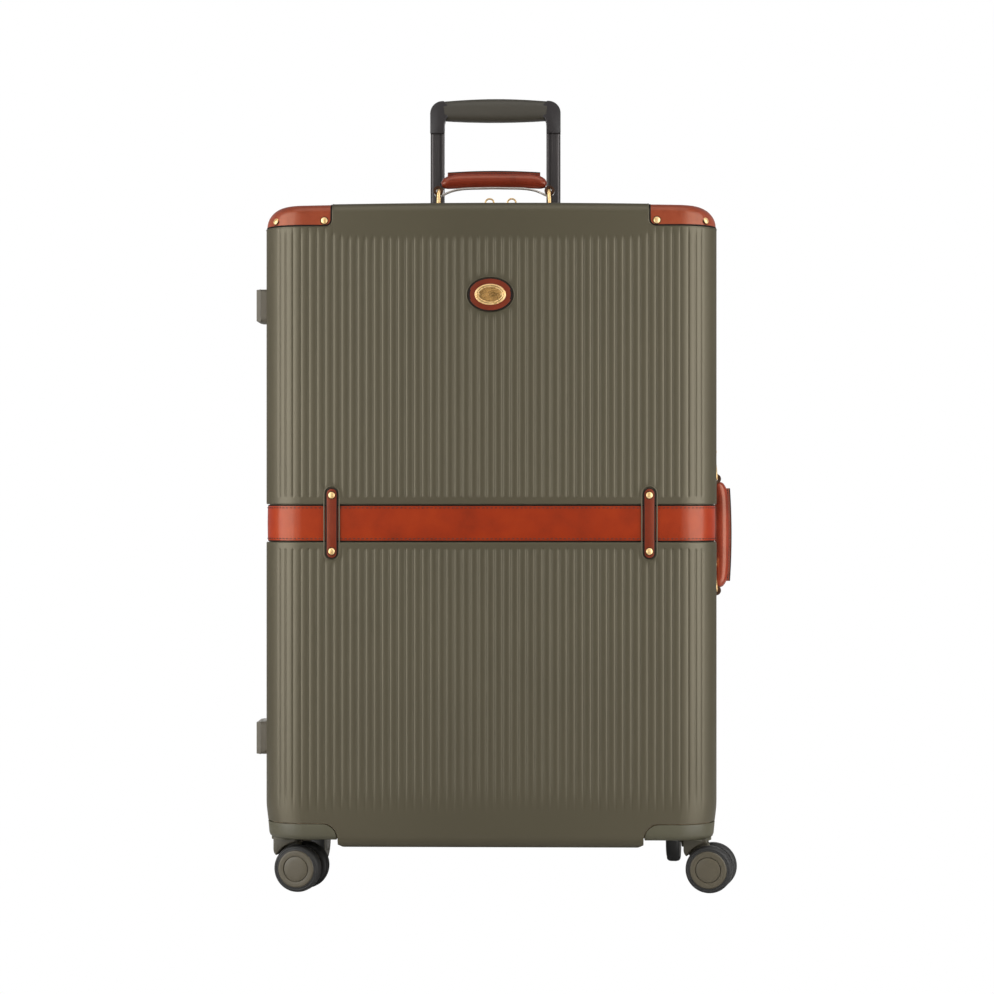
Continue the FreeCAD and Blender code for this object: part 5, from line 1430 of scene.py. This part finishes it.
def handle_strip(share):
    """The pale strip that lines the underside and runs down to the loops, by a share of the full drop."""
    steps = strip_steps.copy()
    steps[:, 1] = steps[0, 1] + (steps[:, 1] - steps[0, 1]) * share
    path = resampled(np.concatenate([steps[:0:-1] * np.array((-1, 1)), steps]), 61)
    spots = list(zip(path[:, 0], softened(path[:, 1])))
    strip = moulded_sheet("handle_strip", [[(x, y, z) for x, z in spots]
                                           for y in (-0.0066, -0.0055, 0.0055, 0.0066)])
    apply_modifier(strip, "SOLIDIFY", thickness=0.0013, offset=0)
    smooth(strip)
    paint(strip, strip_finish)
    return strip


def handle_loops(drop):
    """Folded loops at both ends, round the rings."""
    profile = [(0.0026, -0.0074), (0.0054, -0.0078), (0.0061, -0.0070), (0.0061, 0.0070), (0.0054, 0.0078),
               (0.0026, 0.0074), (0.0026, -0.0074)]
    loop = turned("handle_loop", profile, "Y", 28)
    paint(loop, loop_hide)
    return pair_across(place(loop, (loop_x, 0, -drop)), "handle_loops")


def ring_path(foot, head, half=0.011, corner=0.004):
    """Closed line of an oblong ring whose two bars lie along Y at its foot and head."""
    foot, head = np.array(foot), np.array(head)
    reach = np.linalg.norm(head - foot)
    up = (head - foot) / reach
    outline = round_box((-half, 0), (half, reach), (corner,) * 4, 6)
    return [tuple(foot + np.array((0, y, 0)) + up * rise) for y, rise in outline]


def body_with(node):
    """The body that a CAD node rides on."""
    bodies = frame["record"]["behaviour"]["bodies"]
    return next(name for name, nodes in bodies.items() if node in nodes)


for place_name, side, sign in (("top", "left", -1), ("top", "right", 1),
                               ("side", "upper", 1), ("side", "lower", -1)):
    foot = (sign * 0.068, handle_y, 0.7950)
    head = (sign * 0.0664, handle_y, 0.8236)
    if place_name == "side":
        foot = (half_width + 0.005, handle_y, 0.440 + sign * 0.068)
        head = (0.2680, handle_y, side_handle_z + sign * loop_x)
    ring = rod(f"{place_name}_{side}_ring", ring_path(foot, head), ring_radius, sides=4)
    paint(ring, brass_finish)
    node = f"{place_name}_ring_{side}"
    attach(ring, body_with(node), "brass", node)
paint_nodes(brass_finish, "handle_brackets")
for place_name, share, drop, location, lean in (
        ("top", 1.0, 0.0032, (0, handle_y, top_handle_z), 0),
        ("side", 0.4, -0.0023, (0.2657, handle_y, side_handle_z), right_angle)):
    pieces = [handle_roll(), handle_ridge(), handle_strip(share), handle_loops(drop)]
    handle = place(join(pieces, place_name + "_leather_handle"), location, (0, lean, 0))
    attach(handle, body_with(place_name + "_handle"), "dark_leather", place_name + "_handle")

# Dial lock
# A dark moulded body let into the top of the rear half, with three dials and a push button.
# The dials are ribbed for the thumb and turn on a steel axle.
paint_nodes(corner_finish, "lock_body", "lock_button")
dial_finish = metal("dial_brass", tint(163, 122, 66), tint(206, 163, 100), 0.34)
paint_nodes(dial_finish, "lock_dial_1", "lock_dial_2", "lock_dial_3")

# Camera, floor and light
# A long lens at half the height of the case, a shade to its right, before a sweep of white paper.
# Two tall soft boxes stand beside the case and two dim panels before them, to draw out its upright edges.
# A wide box hangs above, and three more light the back.
camera = bpy.data.objects.new("camera", bpy.data.cameras.new("camera"))
bpy.context.collection.objects.link(camera)
camera.data.lens = 95.43
camera.data.sensor_width = 36
camera.location = (0.0703, -3.155, 0.4535)
camera.rotation_euler = (right_angle, 0, math.atan2(0.0627, 3.0))
bpy.context.scene.camera = camera

white = (1, 1, 1, 1)
bpy.ops.object.select_all(action="DESELECT")
bpy.ops.mesh.primitive_plane_add(size=14, location=(0, 0, -0.0005))
floor = bpy.context.object
floor.name = "floor"
floor_finish = Finish("white_paper", 0.9)
floor_finish.wear(Base_Color=(0.60, 0.60, 0.60, 1))
paper = floor_finish.node("Emission", {"Color": white, "Strength": 1.0})
floor_rays = floor_finish.node("LightPath", {}).outputs
blend = floor_finish.node("MixShader", {0: floor_rays["Is Camera Ray"], 1: floor_finish.shader.outputs[0],
                                        2: paper.outputs[0]})
floor_finish.feed(floor_finish.tree.nodes["Material Output"].inputs["Surface"], blend.outputs[0])
paint(floor, floor_finish)


def soft_box(name, place, aim, width, height, power, gloss=True):
    """A rectangular lamp that faces a point, and shows or not in glossy surfaces."""
    lamp = bpy.data.lights.new(name, "AREA")
    lamp.shape = "RECTANGLE"
    lamp.size = width
    lamp.size_y = height
    lamp.energy = power
    holder = bpy.data.objects.new(name, lamp)
    bpy.context.collection.objects.link(holder)
    holder.location = place
    holder.visible_glossy = gloss
    away = np.array(place) - np.array(aim)
    flat = math.hypot(away[0], away[1])
    holder.rotation_euler = (math.atan2(flat, away[2]), 0, math.atan2(away[0], -away[1]))


soft_box("left_box", (-0.76, -0.50, 0.54), (-0.22, -0.14, 0.45), 0.66, 1.35, 10)
soft_box("right_box", (0.76, -0.50, 0.54), (0.22, -0.14, 0.45), 0.66, 1.35, 10)
soft_box("left_panel", (-0.755, -1.54, 0.5), (-0.22, -0.14, 0.45), 0.45, 1.35, 2.4)
soft_box("right_panel", (0.755, -1.54, 0.5), (0.22, -0.14, 0.45), 0.45, 1.35, 2.4)
soft_box("top_box", (0, -0.75, 2.2), (0, -0.1, 0.8), 2.0, 1.2, 10)
soft_box("left_back_box", (-0.95, 0.95, 0.60), (-0.2, 0.14, 0.45), 0.66, 1.35, 8, False)
soft_box("right_back_box", (0.95, 0.95, 0.60), (0.2, 0.14, 0.45), 0.66, 1.35, 8, False)
soft_box("back_fill", (0, 3.0, 1.1), (0, 0.15, 0.5), 1.6, 1.2, 17)

world = bpy.data.worlds.new("studio")
bpy.context.scene.world = world
world.use_nodes = True
sky = world.node_tree
glow = sky.nodes["Background"]
glow.inputs["Color"].default_value = white
sky_rays = sky.nodes.new("ShaderNodeLightPath").outputs
strength = None
for ray, share in (("Is Camera Ray", 0.92), ("Is Transmission Ray", 0.92), ("Is Glossy Ray", 0.22)):
    level = sky.nodes.new("ShaderNodeMath")
    level.operation = "MULTIPLY_ADD"
    level.inputs[1].default_value = share
    level.inputs[2].default_value = 0.08
    sky.links.new(sky_rays[ray], level.inputs[0])
    if strength:
        sky.links.new(strength, level.inputs[2])
    strength = level.outputs[0]
sky.links.new(strength, glow.inputs["Strength"])
bpy.context.scene.view_settings.view_transform = "Standard"
